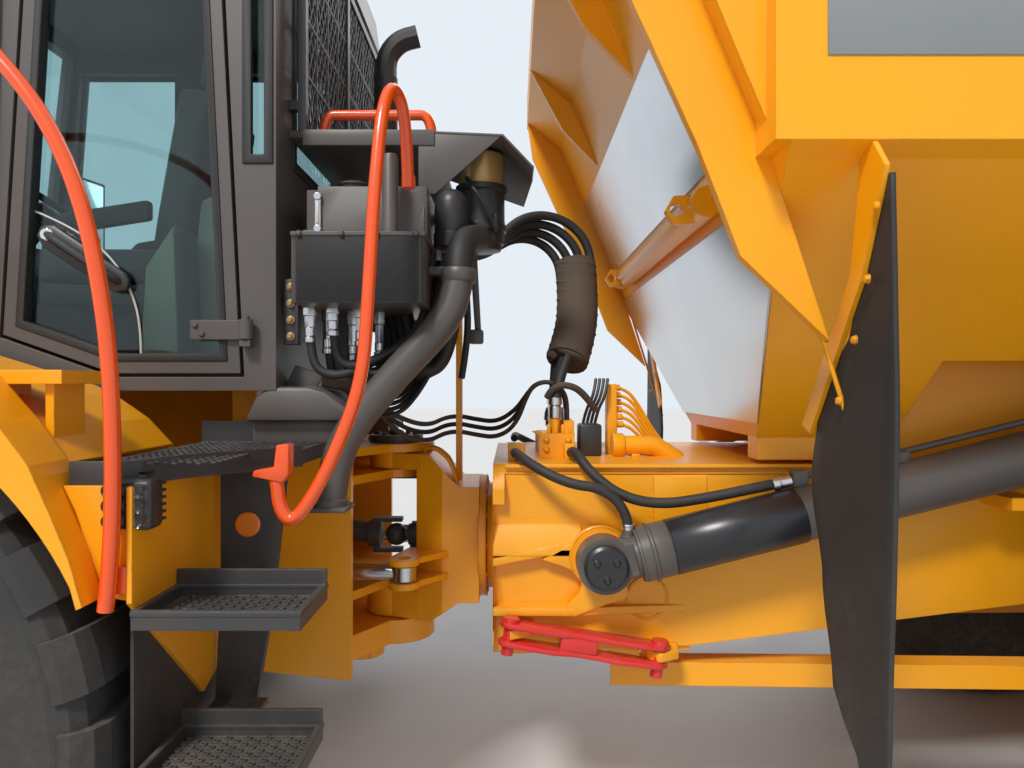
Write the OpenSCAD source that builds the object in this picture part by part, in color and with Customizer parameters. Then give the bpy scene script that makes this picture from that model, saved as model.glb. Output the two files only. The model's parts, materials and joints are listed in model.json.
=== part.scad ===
// Articulated six-wheel dump truck, full size, in millimetres.
// +X is forward, +Y is the machine's left and +Z is up.
// The origin is on the ground, below the middle of the whole machine.
// The front unit is drawn from the steering pin, so its X values count from there.

/* [Machine] */
// Length from the front bumper to the tail of the bed
length = 10220; // [10180:5:10260]
// From the front axle forward to the bumper's face
front_overhang = 2764; // [2755:1:2780]
// From the steering pin forward to the front axle
pin_to_axle = 1210; // [1200:1:1220]
// From the front axle back to the first bogie axle
wheelbase = 4175; // [4160:1:4190]
// Between the two bogie axles
bogie_spacing = 1670; // [1660:1:1700]
// Between the middles of the left and right tyres
track = 2258; // [2250:1:2266]

/* [Tyres, rims and axles] */
// Outer radius of a tyre, which is also the height of the axles
tyre_r = 807; // [800:1:812]
// Width of a tyre
tyre_w = 600; // [580:2:606]
// Depth of the tread blocks
tread_depth = 32; // [20:1:40]
// Number of tread blocks on each half of a tyre
lug_count = 24; // [18:1:28]
// Radius of the rim where the tyre seats
rim_r = 330; // [320:1:336]
// Radius of the stub that each hub turns on
spindle_r = 70; // [60:1:80]
// Radius of the axle tubes
axle_tube_r = 110; // [100:1:115]
// Radius of the differential housings
diff_r = 215; // [200:1:220]

/* [Fits] */
// Clearance on the radius of a pin or journal that turns in its bore
run_fit = 0.1; // [0.05:0.01:0.1]
// Seat clearance between curved or soft pieces that rest on each other
seat_gap = 0.3; // [0.2:0.05:0.4]

/* [Hitch] */
// Height of the roll axis
hitch_z = 1002; // [998:1:1006]
// Radius of the two steering pins
steer_pin_r = 55; // [48:1:60]
// Radius of the roll journal
journal_r = 150; // [145:1:155]
// Radius of the tunnel for the propshaft
tunnel_r = 120; // [110:1:125]
// Play above and below the yoke's arms
fork_gap = 5; // [5:0.5:8]
// Thickness of a fork plate
fork_t = 32; // [28:1:36]
// Middle of the yoke's upper arm above the roll axis
upper_arm_rise = 303; // [300:1:306]
// Thickness of the yoke's upper arm
upper_arm_t = 60; // [56:1:64]
// Middle of the yoke's lower arm below the roll axis
lower_arm_drop = 237; // [234:1:240]
// Thickness of the yoke's lower arm
lower_arm_t = 110; // [104:1:116]

/* [Steering cylinders] */
// Front eyes, forward of the steering pin
steer_front_x = 900; // [896:1:904]
// Front eyes, out from the middle
steer_front_y = 250; // [246:1:254]
// Rear eyes, behind the steering pin
steer_rear_x = 77; // [75:1:79]
// Rear eyes, out from the middle
steer_rear_y = 321; // [319:1:323]
// Height of the steering cylinders
steer_z = 930; // [926:1:934]
// Outer radius of a steering barrel
steer_barrel_r = 45; // [42:1:48]
// Radius of a steering rod
steer_rod_r = 28; // [24:1:30]

/* [Front frame] */
// Inner faces of the front rails, out from the middle
rail_y = 405; // [402:1:408]
// Thickness of a front rail
rail_t = 30; // [26:1:34]
// Top of the front rails below the cab and engine
rail_top = 1300; // [1296:1:1304]

/* [Cab] */
// From the steering pin forward to the cab's rear wall
cab_x = 245; // [243:1:248]
// Length of the cab
cab_len = 1599; // [1590:1:1605]
// Width of the cab
cab_w = 1480; // [1470:2:1490]
// Underside of the cab's floor
cab_z = 1580; // [1576:1:1584]
// Top of the cab's walls
cab_top = 3250; // [3240:1:3260]
// Top of the cab's roof
cab_height = 3428; // [3410:1:3440]
// Thickness of the cab's walls and floor
cab_wall = 60; // [50:1:64]
// Thickness of the glass
glass_t = 6; // [5:0.5:8]
// Gap round the door
door_gap = 11; // [10:0.5:12]

/* [Hood] */
// From the cab's front forward to the hood
hood_gap = 30; // [25:1:35]
// Half of the hood's width
hood_half_w = 760; // [752:1:764]
// Thickness of the hood's skin
hood_t = 30; // [24:1:34]
// Top of the hood at the cab
hood_top = 2330; // [2320:1:2340]
// Hood hinge behind the bumper's face
hood_hinge_x = 130; // [126:1:134]
// Height of the hood hinge
hood_hinge_z = 1240; // [1236:1:1244]
// Radius of the hood's hinge tube
hood_pin_r = 20; // [18:1:22]

/* [Rear frame] */
// Outer faces of the rear beams, out from the middle
beam_y = 460; // [456:1:464]
// Width of a rear beam
beam_w = 100; // [90:1:104]
// Top of the rear beams
beam_top = 1330; // [1326:1:1334]
// Bed hinge forward of the tail
bed_hinge_x = 1130; // [1120:1:1140]
// Height of the bed hinge
bed_hinge_z = 1480; // [1478:1:1484]
// Radius of the bed's hinge pins
bed_pin_r = 45; // [40:1:50]

/* [Hoist cylinders] */
// Frame pins behind the steering pin
hoist_x = 753; // [750:1:756]
// Height of the frame pins
hoist_z = 1030; // [1027:1:1033]
// Hoist cylinders, out from the middle
hoist_y = 600; // [598:1:602]
// Length between the eyes with the bed down
hoist_len = 2504; // [2500:1:2508]
// Slope of the cylinders with the bed down, in degrees
hoist_slope = 14; // [13.8:0.1:14.2]
// Outer radius of a hoist barrel
hoist_barrel_r = 85; // [80:1:90]
// Radius of a hoist rod
hoist_rod_r = 45; // [40:1:48]
// Radius of the pins at the ends of the hoist cylinders
hoist_pin_r = 45; // [40:1:48]
// Width of the eyes of the hoist cylinders
hoist_eye_w = 90; // [86:1:92]

/* [Bed] */
// Width over the bed's sides
bed_w = 2700; // [2680:2:2720]
// Width inside the bed's sides
bed_inner_w = 2516; // [2490:2:2530]
// Half of the width of the bed's flat floor
floor_half_w = 460; // [455:1:465]
// Underside of the bed's floor
floor_z = 1420; // [1418:1:1424]
// Height where the bed's sides turn upright
lip_z = 2130; // [2120:1:2140]
// Top of the bed's sides
side_top = 2778; // [2760:1:2790]
// Top of the front wall's canopy
canopy_top = 3230; // [3220:1:3240]
// Thickness of the bed's plates
bed_t = 32; // [28:1:36]

/* [Hidden] */
$fn = 48;

x_front = length / 2;
x_axle_1 = x_front - front_overhang;
x_pin = x_axle_1 - pin_to_axle;
x_axle_2 = x_axle_1 - wheelbase;
x_axle_3 = x_axle_2 - bogie_spacing;
x_tail = -length / 2;
nose = x_front - x_pin;

upper_arm_z = hitch_z + upper_arm_rise;
lower_arm_z = hitch_z - lower_arm_drop;
upper_arm = [upper_arm_z - upper_arm_t / 2, upper_arm_z + upper_arm_t / 2];
lower_arm = [lower_arm_z - lower_arm_t / 2, lower_arm_z + lower_arm_t / 2];
fork_foot = 90;
fork_levels = [
    [upper_arm[0] - fork_gap - fork_t, upper_arm[0] - fork_gap],
    [upper_arm[1] + fork_gap, upper_arm[1] + fork_gap + fork_t],
    [lower_arm[1] + fork_gap, lower_arm[1] + fork_gap + fork_t],
    [lower_arm[0] - fork_gap - fork_foot, lower_arm[0] - fork_gap]
];

rail_out = rail_y + rail_t;
half_track = track / 2;
brake_r = 195;
brake_in = half_track - 330;
brake_out = half_track - 160;
spindle_end = half_track + 170;
hub_back = -150;

steer_run = [-steer_rear_x - steer_front_x, steer_rear_y - steer_front_y];
steer_len = norm(steer_run);
steer_angle = atan2(steer_run.y, steer_run.x);
steer_eye_t = 50;
steer_pin = 25;
steer_lug_t = 22;
steer_play = 2;
steer_drift_play = 5;

cab_end = cab_x + cab_len;
cab_half = cab_w / 2;
cab_floor = cab_z + cab_wall;
windscreen_rake = 120;
windscreen_z = 2150;
belt_z = 2000;
glass_top = 3120;
pane_y = cab_half - cab_wall / 2;
door_x = cab_x + 95;
door_outline = [[door_x, cab_z + 41], [door_x + 395, cab_z + 41], [door_x + 732, cab_z + 160],
    [door_x + 645, cab_top - 70], [door_x + 78, cab_top - 70]];
door_hinge = [cab_x + 80, cab_half + 28];
door_hinge_levels = [1760, 2960];
door_pin_r = 10;
quarter_window = [[265, 2270], [334, 2270], [334, glass_top], [265, glass_top]];
escape_window = [[420, belt_z], [1047, belt_z], [975, glass_top], [439, glass_top]];
rear_window = [[-560, 2300], [560, 2300], [560, glass_top], [-560, glass_top]];
side_window = [[1194, belt_z], [1744, belt_z], [1660, glass_top], [1194, glass_top]];

hood_x = cab_end + hood_gap;
hinge_rel = nose - hood_hinge_x;
engine_x = hood_x + 20;
engine_end = engine_x + 1370;
engine_half = 380;
engine_z = 900;

hoist_pin_x = x_pin - hoist_x;
bed_pivot_x = x_tail + bed_hinge_x;
floor_rise_x = x_tail + 1810;
tail_floor_z = 2060;
tail_slope = (tail_floor_z - floor_z) / (floor_rise_x - x_tail);
bed_half = bed_w / 2;
bed_inner = bed_inner_w / 2;
sill_pad = 15;
flap_x = [-130, -118];
rail_r = 17;
inner_fork_r = 90;
web_x = -100;
lock_x = [x_pin - 1000, x_pin - 404];
lock_y = 537;
lock_z = [703, 757];
lock_pins = [lock_x[0] + 60, lock_x[1] - 50];
lock_pin_r = 22;

// Colours
yellow = [1.0, 0.69, 0.0];
taupe = [0.34, 0.32, 0.31];
dark = [0.16, 0.16, 0.17];
black = [0.05, 0.05, 0.05];
orange = [1.0, 0.35, 0.06];
red = [0.85, 0.08, 0.08];
steel = [0.75, 0.76, 0.78];
glass_tint = [0.4, 0.7, 0.7, 0.4];

// Shapes that several pieces share

// Plate with its outline in the XZ plane, from y0 to y1
module xz_plate(points, y0, y1)
    translate([0, y1, 0]) rotate([90, 0, 0]) linear_extrude(y1 - y0) polygon(points);

// Plate with its outline in the YZ plane, from x0 to x1
module yz_plate(points, x0, x1)
    translate([x0, 0, 0]) rotate([90, 0, 90]) linear_extrude(x1 - x0) polygon(points);

// Plate with its outline in the XY plane, from z0 to z1
module xy_plate(points, z0, z1)
    translate([0, 0, z0]) linear_extrude(z1 - z0) polygon(points);

module block(x, y, z)
    translate([x[0], y[0], z[0]]) cube([x[1] - x[0], y[1] - y[0], z[1] - z[0]]);

module rod_x(r, x, y, z)
    translate([x[0], y, z]) rotate([0, 90, 0]) cylinder(r = r, h = x[1] - x[0]);

module rod_y(r, x, y, z)
    translate([x, y[1], z]) rotate([90, 0, 0]) cylinder(r = r, h = y[1] - y[0]);

module rod_z(r, x, y, z)
    translate([x, y, z[0]]) cylinder(r = r, h = z[1] - z[0]);

module strut(a, b, r)
    translate(a) rotate([0, acos((b - a).z / norm(b - a)), atan2((b - a).y, (b - a).x)])
        cylinder(r = r, h = norm(b - a));

module both_sides() {
    children();
    mirror([0, 1, 0]) children();
}

module at_pin() translate([x_pin, 0, 0]) children();

// Round bars and hoses along a path of points
function unit(v) = v / norm(v);
function turned(n, t) = unit(n - (n * t) * t);
function tangents(p) = [for (i = [0:len(p) - 1])
    i == 0 ? unit(p[1] - p[0])
    : i == len(p) - 1 ? unit(p[i] - p[i - 1])
    : unit(unit(p[i + 1] - p[i]) + unit(p[i] - p[i - 1]))];
function carried(t, n, i = 0) = i == len(t) ? []
    : let (m = turned(n, t[i])) concat([[m, cross(t[i], m)]], carried(t, m, i + 1));
function cut_corners(p) = concat(
    [p[0]],
    [for (i = [0:len(p) - 2]) for (s = i == 0 ? [0.75] : i == len(p) - 2 ? [0.25] : [0.25, 0.75])
        p[i] * (1 - s) + p[i + 1] * s],
    [p[len(p) - 1]]);
// Convex outline, drawn anticlockwise, with each side moved inward by d
function inset(p, d) = [for (i = [0:len(p) - 1])
    let (
        n = len(p),
        u = unit(p[i] - p[(i + n - 1) % n]),
        v = unit(p[(i + 1) % n] - p[i]),
        a = [-u.y, u.x],
        b = [-v.y, v.x]
    )
    p[i] + (a + b) * d / (1 + a * b)];

module tube(path, r, sides = 8) {
    t = tangents(path);
    frames = carried(t, abs(t[0].z) > 0.9 ? [1, 0, 0] : [0, 0, 1]);
    last = len(path) - 1;
    points = [for (i = [0:last]) for (k = [0:sides - 1])
        path[i] + r * (cos(360 * k / sides) * frames[i][0] + sin(360 * k / sides) * frames[i][1])];
    walls = [for (i = [0:last - 1]) for (k = [0:sides - 1])
        let (n = (k + 1) % sides)
            [i * sides + k, (i + 1) * sides + k, (i + 1) * sides + n, i * sides + n]];
    ends = [[for (k = [0:sides - 1]) k], [for (k = [0:sides - 1]) (last + 1) * sides - 1 - k]];
    polyhedron(points, concat(walls, ends), convexity = 6);
}

module bent_bar(path, r, sides = 8) tube(cut_corners(cut_corners(path)), r, sides);

// Wheels: profiles are radius and offset outward from the tyre's middle

function tyre_section() =
    let (w = tyre_w / 2, base = tyre_r - tread_depth, bead = rim_r + 36)
    [
        [rim_r, -238], [bead, -238], [bead + 50, -w + 42], [bead + 130, -w + 10], [600, -w],
        [base - 60, -w + 6], [base - 22, -w + 20], [base, -w + 48],
        [base, w - 48], [base - 22, w - 20], [base - 60, w - 6],
        [600, w], [bead + 130, w - 10], [bead + 50, w - 42], [bead, 238], [rim_r, 238]
    ];

module tread_half(turn) {
    w = tyre_w / 2;
    lug_w = 0.62 * 2 * PI * tyre_r / lug_count;
    intersection() {
        rotate_extrude($fn = 96) polygon([
            [tyre_r - 75, 14], [tyre_r, 14], [tyre_r, w - 74], [tyre_r - 14, w - 34],
            [tyre_r - 52, w - 8], [tyre_r - 75, w - 4]
        ]);
        for (i = [0:lug_count - 1])
            rotate(turn + i * 360 / lug_count)
                translate([tyre_r - 80, -lug_w / 2, 0]) cube([100, lug_w, w]);
    }
}

module tyre() {
    color(black) rotate([-90, 0, 0]) {
        rotate_extrude($fn = 96) polygon(tyre_section());
        tread_half(0);
        mirror([0, 0, 1]) tread_half(180 / lug_count);
    }
}

module rim() {
    seat = rim_r - seat_gap;
    color(yellow) rotate([-90, 0, 0]) difference() {
        rotate_extrude($fn = 96) polygon([
            [0, hub_back], [188, hub_back], [188, 40], [240, 40], [300, 20], [seat - 28, -20],
            [seat - 28, -262], [seat + 34, -262], [seat + 34, -242], [seat, -242],
            [seat, 242], [seat + 34, 242], [seat + 34, 262], [seat - 28, 262],
            [seat - 28, 60], [300, 52], [240, 72], [188, 72], [188, 190], [160, 236], [90, 262],
            [80, 278], [0, 278]
        ]);
        translate([0, 0, hub_back - 1]) cylinder(r = spindle_r + run_fit, h = 180 - hub_back + 1);
    }
}

module wheel_place(x, side)
    translate([x, side * half_track, tyre_r]) mirror([0, side < 0 ? 1 : 0, 0]) children();

// Axle housing with its brakes and stub ends, about the middle of the axle
module axle_beam() {
    rod_y(axle_tube_r, 0, [-brake_in, brake_in], 0);
    sphere(r = diff_r, $fn = 64);
    both_sides() {
        rod_y(brake_r, 0, [brake_in - 1, brake_out], 0);
        rod_y(spindle_r, 0, [brake_out - 1, spindle_end], 0);
    }
}

// Front unit

module fork_plate(level, end_r, reach) {
    difference() {
        union() {
            rod_z(end_r, 0, 0, level);
            xy_plate([[0, -end_r], [164, -rail_y - 2], [reach, -rail_y - 2], [reach, rail_y + 2],
                [164, rail_y + 2], [0, end_r]], level[0], level[1]);
        }
        rod_z(steer_pin_r, 0, 0, [level[0] - 1, level[1] + 1]);
    }
}

module steer_anchor() {
    for (z = [steer_z - steer_eye_t / 2 - steer_play - steer_lug_t, steer_z + steer_eye_t / 2 + steer_play])
        difference() {
            union() {
                rod_z(50, steer_front_x, steer_front_y, [z, z + steer_lug_t]);
                block([steer_front_x - 50, steer_front_x + 50], [steer_front_y, rail_y + 2],
                    [z, z + steer_lug_t]);
            }
            rod_z(steer_pin, steer_front_x, steer_front_y, [z - 1, z + steer_lug_t + 1]);
        }
    rod_z(steer_pin, steer_front_x, steer_front_y,
        [steer_z - steer_eye_t / 2 - steer_play - steer_lug_t, steer_z + steer_eye_t / 2 + steer_play + steer_lug_t]);
}

module front_rail() {
    deep = fork_levels[3][0] - 25;
    xz_plate([
        [87, deep], [564, 640], [steer_front_x - 120, 860], [steer_front_x + 60, 860],
        [pin_to_axle - 200, 1010], [pin_to_axle + 400, 1010], [pin_to_axle + 600, 760],
        [nose - 410, 760], [nose - 410, rail_top], [824, rail_top], [764, fork_levels[1][1] - 7],
        [87, fork_levels[1][1] - 7]
    ], rail_y, rail_out);
}

module front_frame() {
    strut_top = 1250;
    color(yellow) at_pin() {
        for (i = [0:3])
            fork_plate(fork_levels[i], i % 2 == 0 ? inner_fork_r : 150, 500);
        both_sides() {
            front_rail();
            steer_anchor();
            // Cab feet
            for (x = [cab_x + 140, cab_end - 140])
                block([x, x + 80], [rail_y, rail_out + 70], [rail_top - 60, cab_z]);
            // Fender brackets
            for (x = [pin_to_axle - 600, pin_to_axle + 600])
                block([x, x + 60], [rail_out - 1, 790], [1240, 1300]);
            // Spring brackets
            block([pin_to_axle - 70, pin_to_axle + 70], [rail_out - 1, 625], [strut_top, strut_top + 40]);
            // Hood hinge ears
            difference() {
                union() {
                    xz_plate([[nose - 480, 1180], [hinge_rel, hood_hinge_z - 40], [hinge_rel, hood_hinge_z + 40],
                        [nose - 480, 1290]], rail_out - 1, rail_out + 30);
                    rod_y(40, hinge_rel, [rail_out - 1, rail_out + 30], hood_hinge_z);
                }
                rod_y(hood_pin_r + run_fit, hinge_rel, [rail_out - 2, rail_out + 31], hood_hinge_z);
            }
        }
        // Cross members: steering, engine seats and nose
        block([540, 570], [-rail_y - 1, rail_y + 1], [700, 860]);
        block([pin_to_axle + 620, pin_to_axle + 740], [-rail_y - 1, rail_y + 1], [engine_z - 40, engine_z]);
        block([engine_end - 180, engine_end - 60], [-rail_y - 1, rail_y + 1], [engine_z - 40, engine_z]);
        block([nose - 470, nose - 430], [-rail_y - 1, rail_y + 1], [780, 1280]);
    }
}

module steering_pins() {
    color(taupe) at_pin() {
        rod_z(steer_pin_r, 0, 0, [fork_levels[0][0], fork_levels[1][1] + 28]);
        rod_z(105, 0, 0, [fork_levels[1][1], fork_levels[1][1] + 28]);
        rod_z(steer_pin_r, 0, 0, [fork_levels[3][0], fork_levels[2][1] + 15]);
        rod_z(inner_fork_r - 5, 0, 0, [fork_levels[2][1], fork_levels[2][1] + 15]);
    }
}

module front_shaft() {
    gearbox_back = [pin_to_axle + 230, 0, 1150];
    slope = unit(gearbox_back - [62, 0, hitch_z + 3]);
    flange = gearbox_back - 8.7 * slope;
    color(dark) at_pin() {
        strut([62, 0, hitch_z + 3], flange, 42);
        strut(flange - 36 * slope, flange, 80);
        rod_x(52, [62, 110], 0, hitch_z + 4);
        for (s = [-1, 1])
            block([-24, 90], [-24, 24], [hitch_z + s * 60 - 8, hitch_z + s * 60 + 8]);
        for (s = [-1, 1])
            block([62, 90], [-24, 24], [hitch_z + min(0, s * 60), hitch_z + max(0, s * 60)]);
    }
}

module front_axle() {
    color(yellow) at_pin() {
        translate([pin_to_axle, 0, tyre_r]) axle_beam();
        // Arms that carry the axle, joined at the ball below the hitch
        difference() {
            union() {
                xy_plate([[90, -75], [180, -75], [pin_to_axle + 60, -360], [pin_to_axle + 60, 360],
                    [180, 75], [90, 75]], 530, 605);
                rod_z(80, 130, 0, [530, fork_levels[3][0]]);
            }
            xy_plate([[330, -70], [pin_to_axle - 190, -240], [pin_to_axle - 190, 240], [330, 70]], 520, 615);
        }
        both_sides() {
            block([pin_to_axle - 80, pin_to_axle + 60], [250, 350], [600, tyre_r - 40]);
            // Spring strut with its seat on the axle
            rod_z(62, pin_to_axle, 560, [tyre_r + 60, 1090]);
            rod_z(40, pin_to_axle, 560, [1080, 1250]);
            rod_z(75, pin_to_axle, 560, [1232, 1250]);
        }
    }
}

module front_bumper() {
    back = nose - 410;
    color(dark) at_pin() difference() {
        union() {
            xz_plate([[back, 820], [back + 130, 650], [nose - 60, 650], [nose, 720], [nose, 1020],
                [nose - 60, 1080], [back, 1080]], -rail_out, rail_out);
            both_sides() xz_plate([[back + 90, 760], [back + 160, 690], [nose - 90, 690], [nose - 40, 740],
                [nose - 40, 1000], [nose - 90, 1060], [back + 90, 1060]], rail_out - 1, 1240);
        }
        // Tow recess
        block([nose - 150, nose + 1], [-130, 130], [800, 940]);
        // Lamp pockets and steps
        both_sides() {
            block([nose - 70, nose + 1], [620, 900], [860, 960]);
            block([nose - 300, nose - 100], [1120, 1241], [800, 940]);
        }
        rod_z(32, nose - 70, 0, [640, 1090]);
    }
    color(steel) at_pin() both_sides()
        for (y = [690, 830])
            rod_x(42, [nose - 70, nose - 44], y, 910);
}

module engine() {
    color(taupe) at_pin() {
        block([engine_x, engine_end], [-engine_half, engine_half], [engine_z, 1850]);
        // Gearbox
        block([pin_to_axle + 230, engine_x + 1], [-290, 290], [engine_z, 1420]);
        // Radiator
        block([engine_end + 90, engine_end + 290], [-560, 560], [rail_top, 1950]);
    }
}

// Outlines of the fender sheets, counted from the axle, rear to front
fender_low = [[-680, 1425], [-610, 1500], [-510, 1570], [-450, 1598], [-120, 1700], [134, 1700],
    [354, 1690], [590, 1580], [736, 1396], [784, 1180]];
fender_high = [[-786, 1140], [-758, 1238], [-722, 1325], [-674, 1432], [-608, 1520], [-522, 1620],
    [-446, 1680], [-336, 1730], [334, 1730], [554, 1640], [734, 1410], [784, 1180]];
fender_out = 1430;
fender_step = 1290;
cab_side = 790;

function drop(line, t) = [for (i = [len(line) - 1:-1:0])
    line[i] - t * unit([line[i].x, line[i].y - tyre_r])];

module fender_sheet(line, t, y0, y1)
    xz_plate([for (p = concat(line, drop(line, t))) p + [pin_to_axle, 0]], y0, y1);

module fenders() {
    color(yellow) at_pin() both_sides() {
        fender_sheet(fender_low, 14, cab_side, fender_step + 1);
        fender_sheet(fender_high, 14, fender_step, fender_out);
        // Side skirt, cut round above the tyre's shoulder
        translate([0, fender_out, 0]) rotate([90, 0, 0]) linear_extrude(8) difference() {
            polygon([for (p = fender_high) p + [pin_to_axle, 0]]);
            translate([pin_to_axle, tyre_r]) circle(r = tyre_r + 40, $fn = 96);
        }
        // Web between the low and the high sheet
        difference() {
            xz_plate([for (p = fender_high) p + [pin_to_axle, 0]], fender_step, fender_step + 8);
            xz_plate([for (p = concat([[784, 1000]], drop(fender_low, 12), [[-680, 1000]])) p + [pin_to_axle, 0]],
                fender_step - 1, fender_step + 9);
            rod_y(tyre_r + 60, pin_to_axle, [fender_step - 1, fender_step + 9], tyre_r);
        }
        // Inner wall down to the rail brackets
        xz_plate(concat([for (p = fender_low) p + [pin_to_axle, 0]],
            [[pin_to_axle + 700, 1240], [pin_to_axle - 620, 1240]]), cab_side, cab_side + 12);
        // Cross panel behind the wheel
        yz_plate([[1370, 1130], [1000, 790], [800, 860], [620, 1050], [rail_out, 1050], [rail_out, 1380],
            [1370, 1380]], 352, 364);
        // Sloped filler between the cross panel and the fender
        xz_plate([[363, 1130], [pin_to_axle - 790, 1140], [pin_to_axle - 726, 1325], [pin_to_axle - 700, 1380],
            [363, 1380]], 1340, 1352);
        // Walkway beside the high sheet
        block([pin_to_axle - 660, pin_to_axle - 450], [1130, fender_step + 1], [1600, 1632]);
        for (x = [pin_to_axle - 630, pin_to_axle - 500])
            block([x, x + 20], [1150, 1270], [x < pin_to_axle - 600 ? 1478 : 1566, 1601]);
    }
}

module step_tray(x, y, z) {
    rim = 12;
    difference() {
        block(x, y, [z - 36, z]);
        block([x[0] + rim, x[1] - rim], [y[0] + rim, y[1] - rim], [z - 24, z + 1]);
    }
    // Kick plate behind the tread
    block([x[0], x[1]], [y[0], y[0] + rim], [z - 36, z + 40]);
}

module ladder() {
    stringer_y = [920, 945];
    // Platform with its kick plate
    xy_plate([[115, 640], [504, 640], [504, 1338], [400, 1338], [320, 1180], [115, 935]], 1380, 1420);
    block([115, 504], [640, 652], [1419, 1485]);
    // Stringer
    xz_plate([[150, 1381], [330, 1381], [330, 1060], [345, 740], [240, 700], [190, 1000]],
        stringer_y[0], stringer_y[1]);
    // Steps on arms from the stringer
    step_tray([-11, 350], [1150, 1380], 1112);
    step_tray([0, 340], [1150, 1380], 772);
    for (x = [200, 300])
        for (z = [1076, 736])
            block([x, x + 40], [stringer_y[1] - 1, 1160], [z, z + 14]);
    // Lowest step, hung on rubber straps
    step_tray([60, 340], [1150, 1380], 440);
    for (x = [90, 290])
        block([x, x + 24], [1200, 1260], [404, 737]);
}

module ladders() {
    color(dark) at_pin() both_sides() ladder();
}

function rail_long() = [
    [399, 1388, 1120], [386, 1388, 1231], [382, 1388, 1462], [393, 1388, 1713], [445, 1388, 1985],
    [529, 1388, 2174], [650, 1388, 2320], [814, 1370, 2480], [1164, 1300, 2560], [1500, 1250, 2500],
    [1514, 1250, 2300], [1514, 1250, 1740]
];
function rail_short() = [
    [120, 1140, 1362], [78, 1140, 1362], [50, 1140, 1340], [50, 1140, 1280], [-10, 1120, 1400],
    [-85, 1100, 1598], [-96, 1080, 1812], [-106, 1040, 2127], [-120, 1000, 2349], [-140, 930, 2420],
    [-165, 877, 2340], [-169, 877.4, 2149]
];
function rail_deck() = [
    [165, 500, 2400], [165, 500, 2490], [90, 500, 2490], [-120, 500, 2490], [-195, 500, 2490],
    [-195, 500, 2400]
];

module handrails() {
    color(orange) at_pin() {
        both_sides() {
            bent_bar(rail_long(), rail_r);
            bent_bar(rail_deck(), rail_r);
            // Clip on the cross panel
            block([364, 392], [1352, 1372], [1150, 1210]);
        }
        bent_bar(rail_short(), rail_r);
        // Seat on the tank's side
        block([-188, -150], [860 + seat_gap, 880], [2150, 2185]);
        // Clip on the platform's edge
        block([115, 145], [1100, 1152], [1345, 1380]);
    }
}

module door_prism(d, y0, y1) xz_plate(inset(door_outline, d), y0, y1);

// Fixed halves of the door hinges: a pin on a foot from the wall
module hinge_pins() {
    for (z = door_hinge_levels) {
        rod_z(door_pin_r, door_hinge.x, door_hinge.y, [z - 50, z + 40]);
        block([door_hinge.x - 16, door_hinge.x + 16], [cab_half - 1, door_hinge.y + 12], [z - 50, z - 30]);
    }
}

// Door's halves of the hinges: an eye with a leaf
module hinge_leaves() {
    for (z = door_hinge_levels)
        difference() {
            union() {
                rod_z(20, door_hinge.x, door_hinge.y, [z - 28, z + 30]);
                block([door_hinge.x, door_hinge.x + 170], [cab_half + 4, cab_half + 16], [z - 28, z + 30]);
                block([door_hinge.x + 118, door_hinge.x + 170], [cab_half - 1, cab_half + 5], [z - 28, z + 30]);
            }
            rod_z(door_pin_r + run_fit, door_hinge.x, door_hinge.y, [z - 60, z + 60]);
        }
}

module cab_shell() {
    w = cab_wall;
    color(taupe) at_pin() {
        difference() {
            xz_plate([[cab_x, cab_z], [cab_end, cab_z], [cab_end, windscreen_z],
                [cab_end - windscreen_rake, cab_top], [cab_x, cab_top]], -cab_half, cab_half);
            xz_plate([[cab_x + w, cab_floor], [cab_end - w, cab_floor], [cab_end - w, windscreen_z],
                [cab_end - windscreen_rake - w, cab_top + 1], [cab_x + w, cab_top + 1]],
                -cab_half + w, cab_half - w);
            door_prism(0, cab_half - w - 1, cab_half + 1);
            xz_plate(quarter_window, -cab_half - 1, cab_half + 1);
            xz_plate(side_window, -cab_half - 1, cab_half + 1);
            xz_plate(escape_window, -cab_half - 1, -cab_half + w + 1);
            // Rear window and windscreen
            yz_plate(rear_window, cab_x - 1, cab_x + w + 1);
            block([cab_end - windscreen_rake - w - 30, cab_end + 1], [-650, 650], [windscreen_z + 50, cab_top - 70]);
        }
        // Pillar cover in front of the door
        both_sides() xz_plate([[1092, 1900], [1176, 1900], [1150, 3200], [1060, 3200]], cab_half, cab_half + 20);
        hinge_pins();
    }
}

module cab_roof() {
    color(taupe) at_pin() intersection() {
        xz_plate([[cab_x - 40, cab_top], [cab_end - 60, cab_top], [cab_end - 20, cab_top + 50],
            [cab_end - 90, cab_height - 30], [cab_end - 240, cab_height], [cab_x + 90, cab_height],
            [cab_x - 30, cab_height - 40]], -cab_half - 30, cab_half + 30);
        yz_plate([[-cab_half - 30, cab_top - 1], [cab_half + 30, cab_top - 1], [cab_half + 30, cab_top + 60],
            [cab_half - 50, cab_height + 1], [-cab_half + 50, cab_height + 1], [-cab_half - 30, cab_top + 60]],
            cab_x - 100, cab_end + 100);
    }
}

function windscreen_x(z, back) = cab_end - windscreen_rake * (z - windscreen_z) / (cab_top - windscreen_z) - back;

module cab_glass() {
    z0 = windscreen_z + 50;
    z1 = cab_top - 70;
    g = glass_t / 2;
    color(glass_tint) at_pin() {
        both_sides() {
            xz_plate(quarter_window, pane_y - g, pane_y + g);
            xz_plate(side_window, pane_y - g, pane_y + g);
        }
        xz_plate(escape_window, -pane_y - g, -pane_y + g);
        yz_plate(rear_window, cab_x + cab_wall / 2 - g, cab_x + cab_wall / 2 + g);
        xz_plate([[windscreen_x(z0, 33), z0], [windscreen_x(z0, 27), z0], [windscreen_x(z1, 27), z1],
            [windscreen_x(z1, 33), z1]], -650, 650);
    }
}

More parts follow.
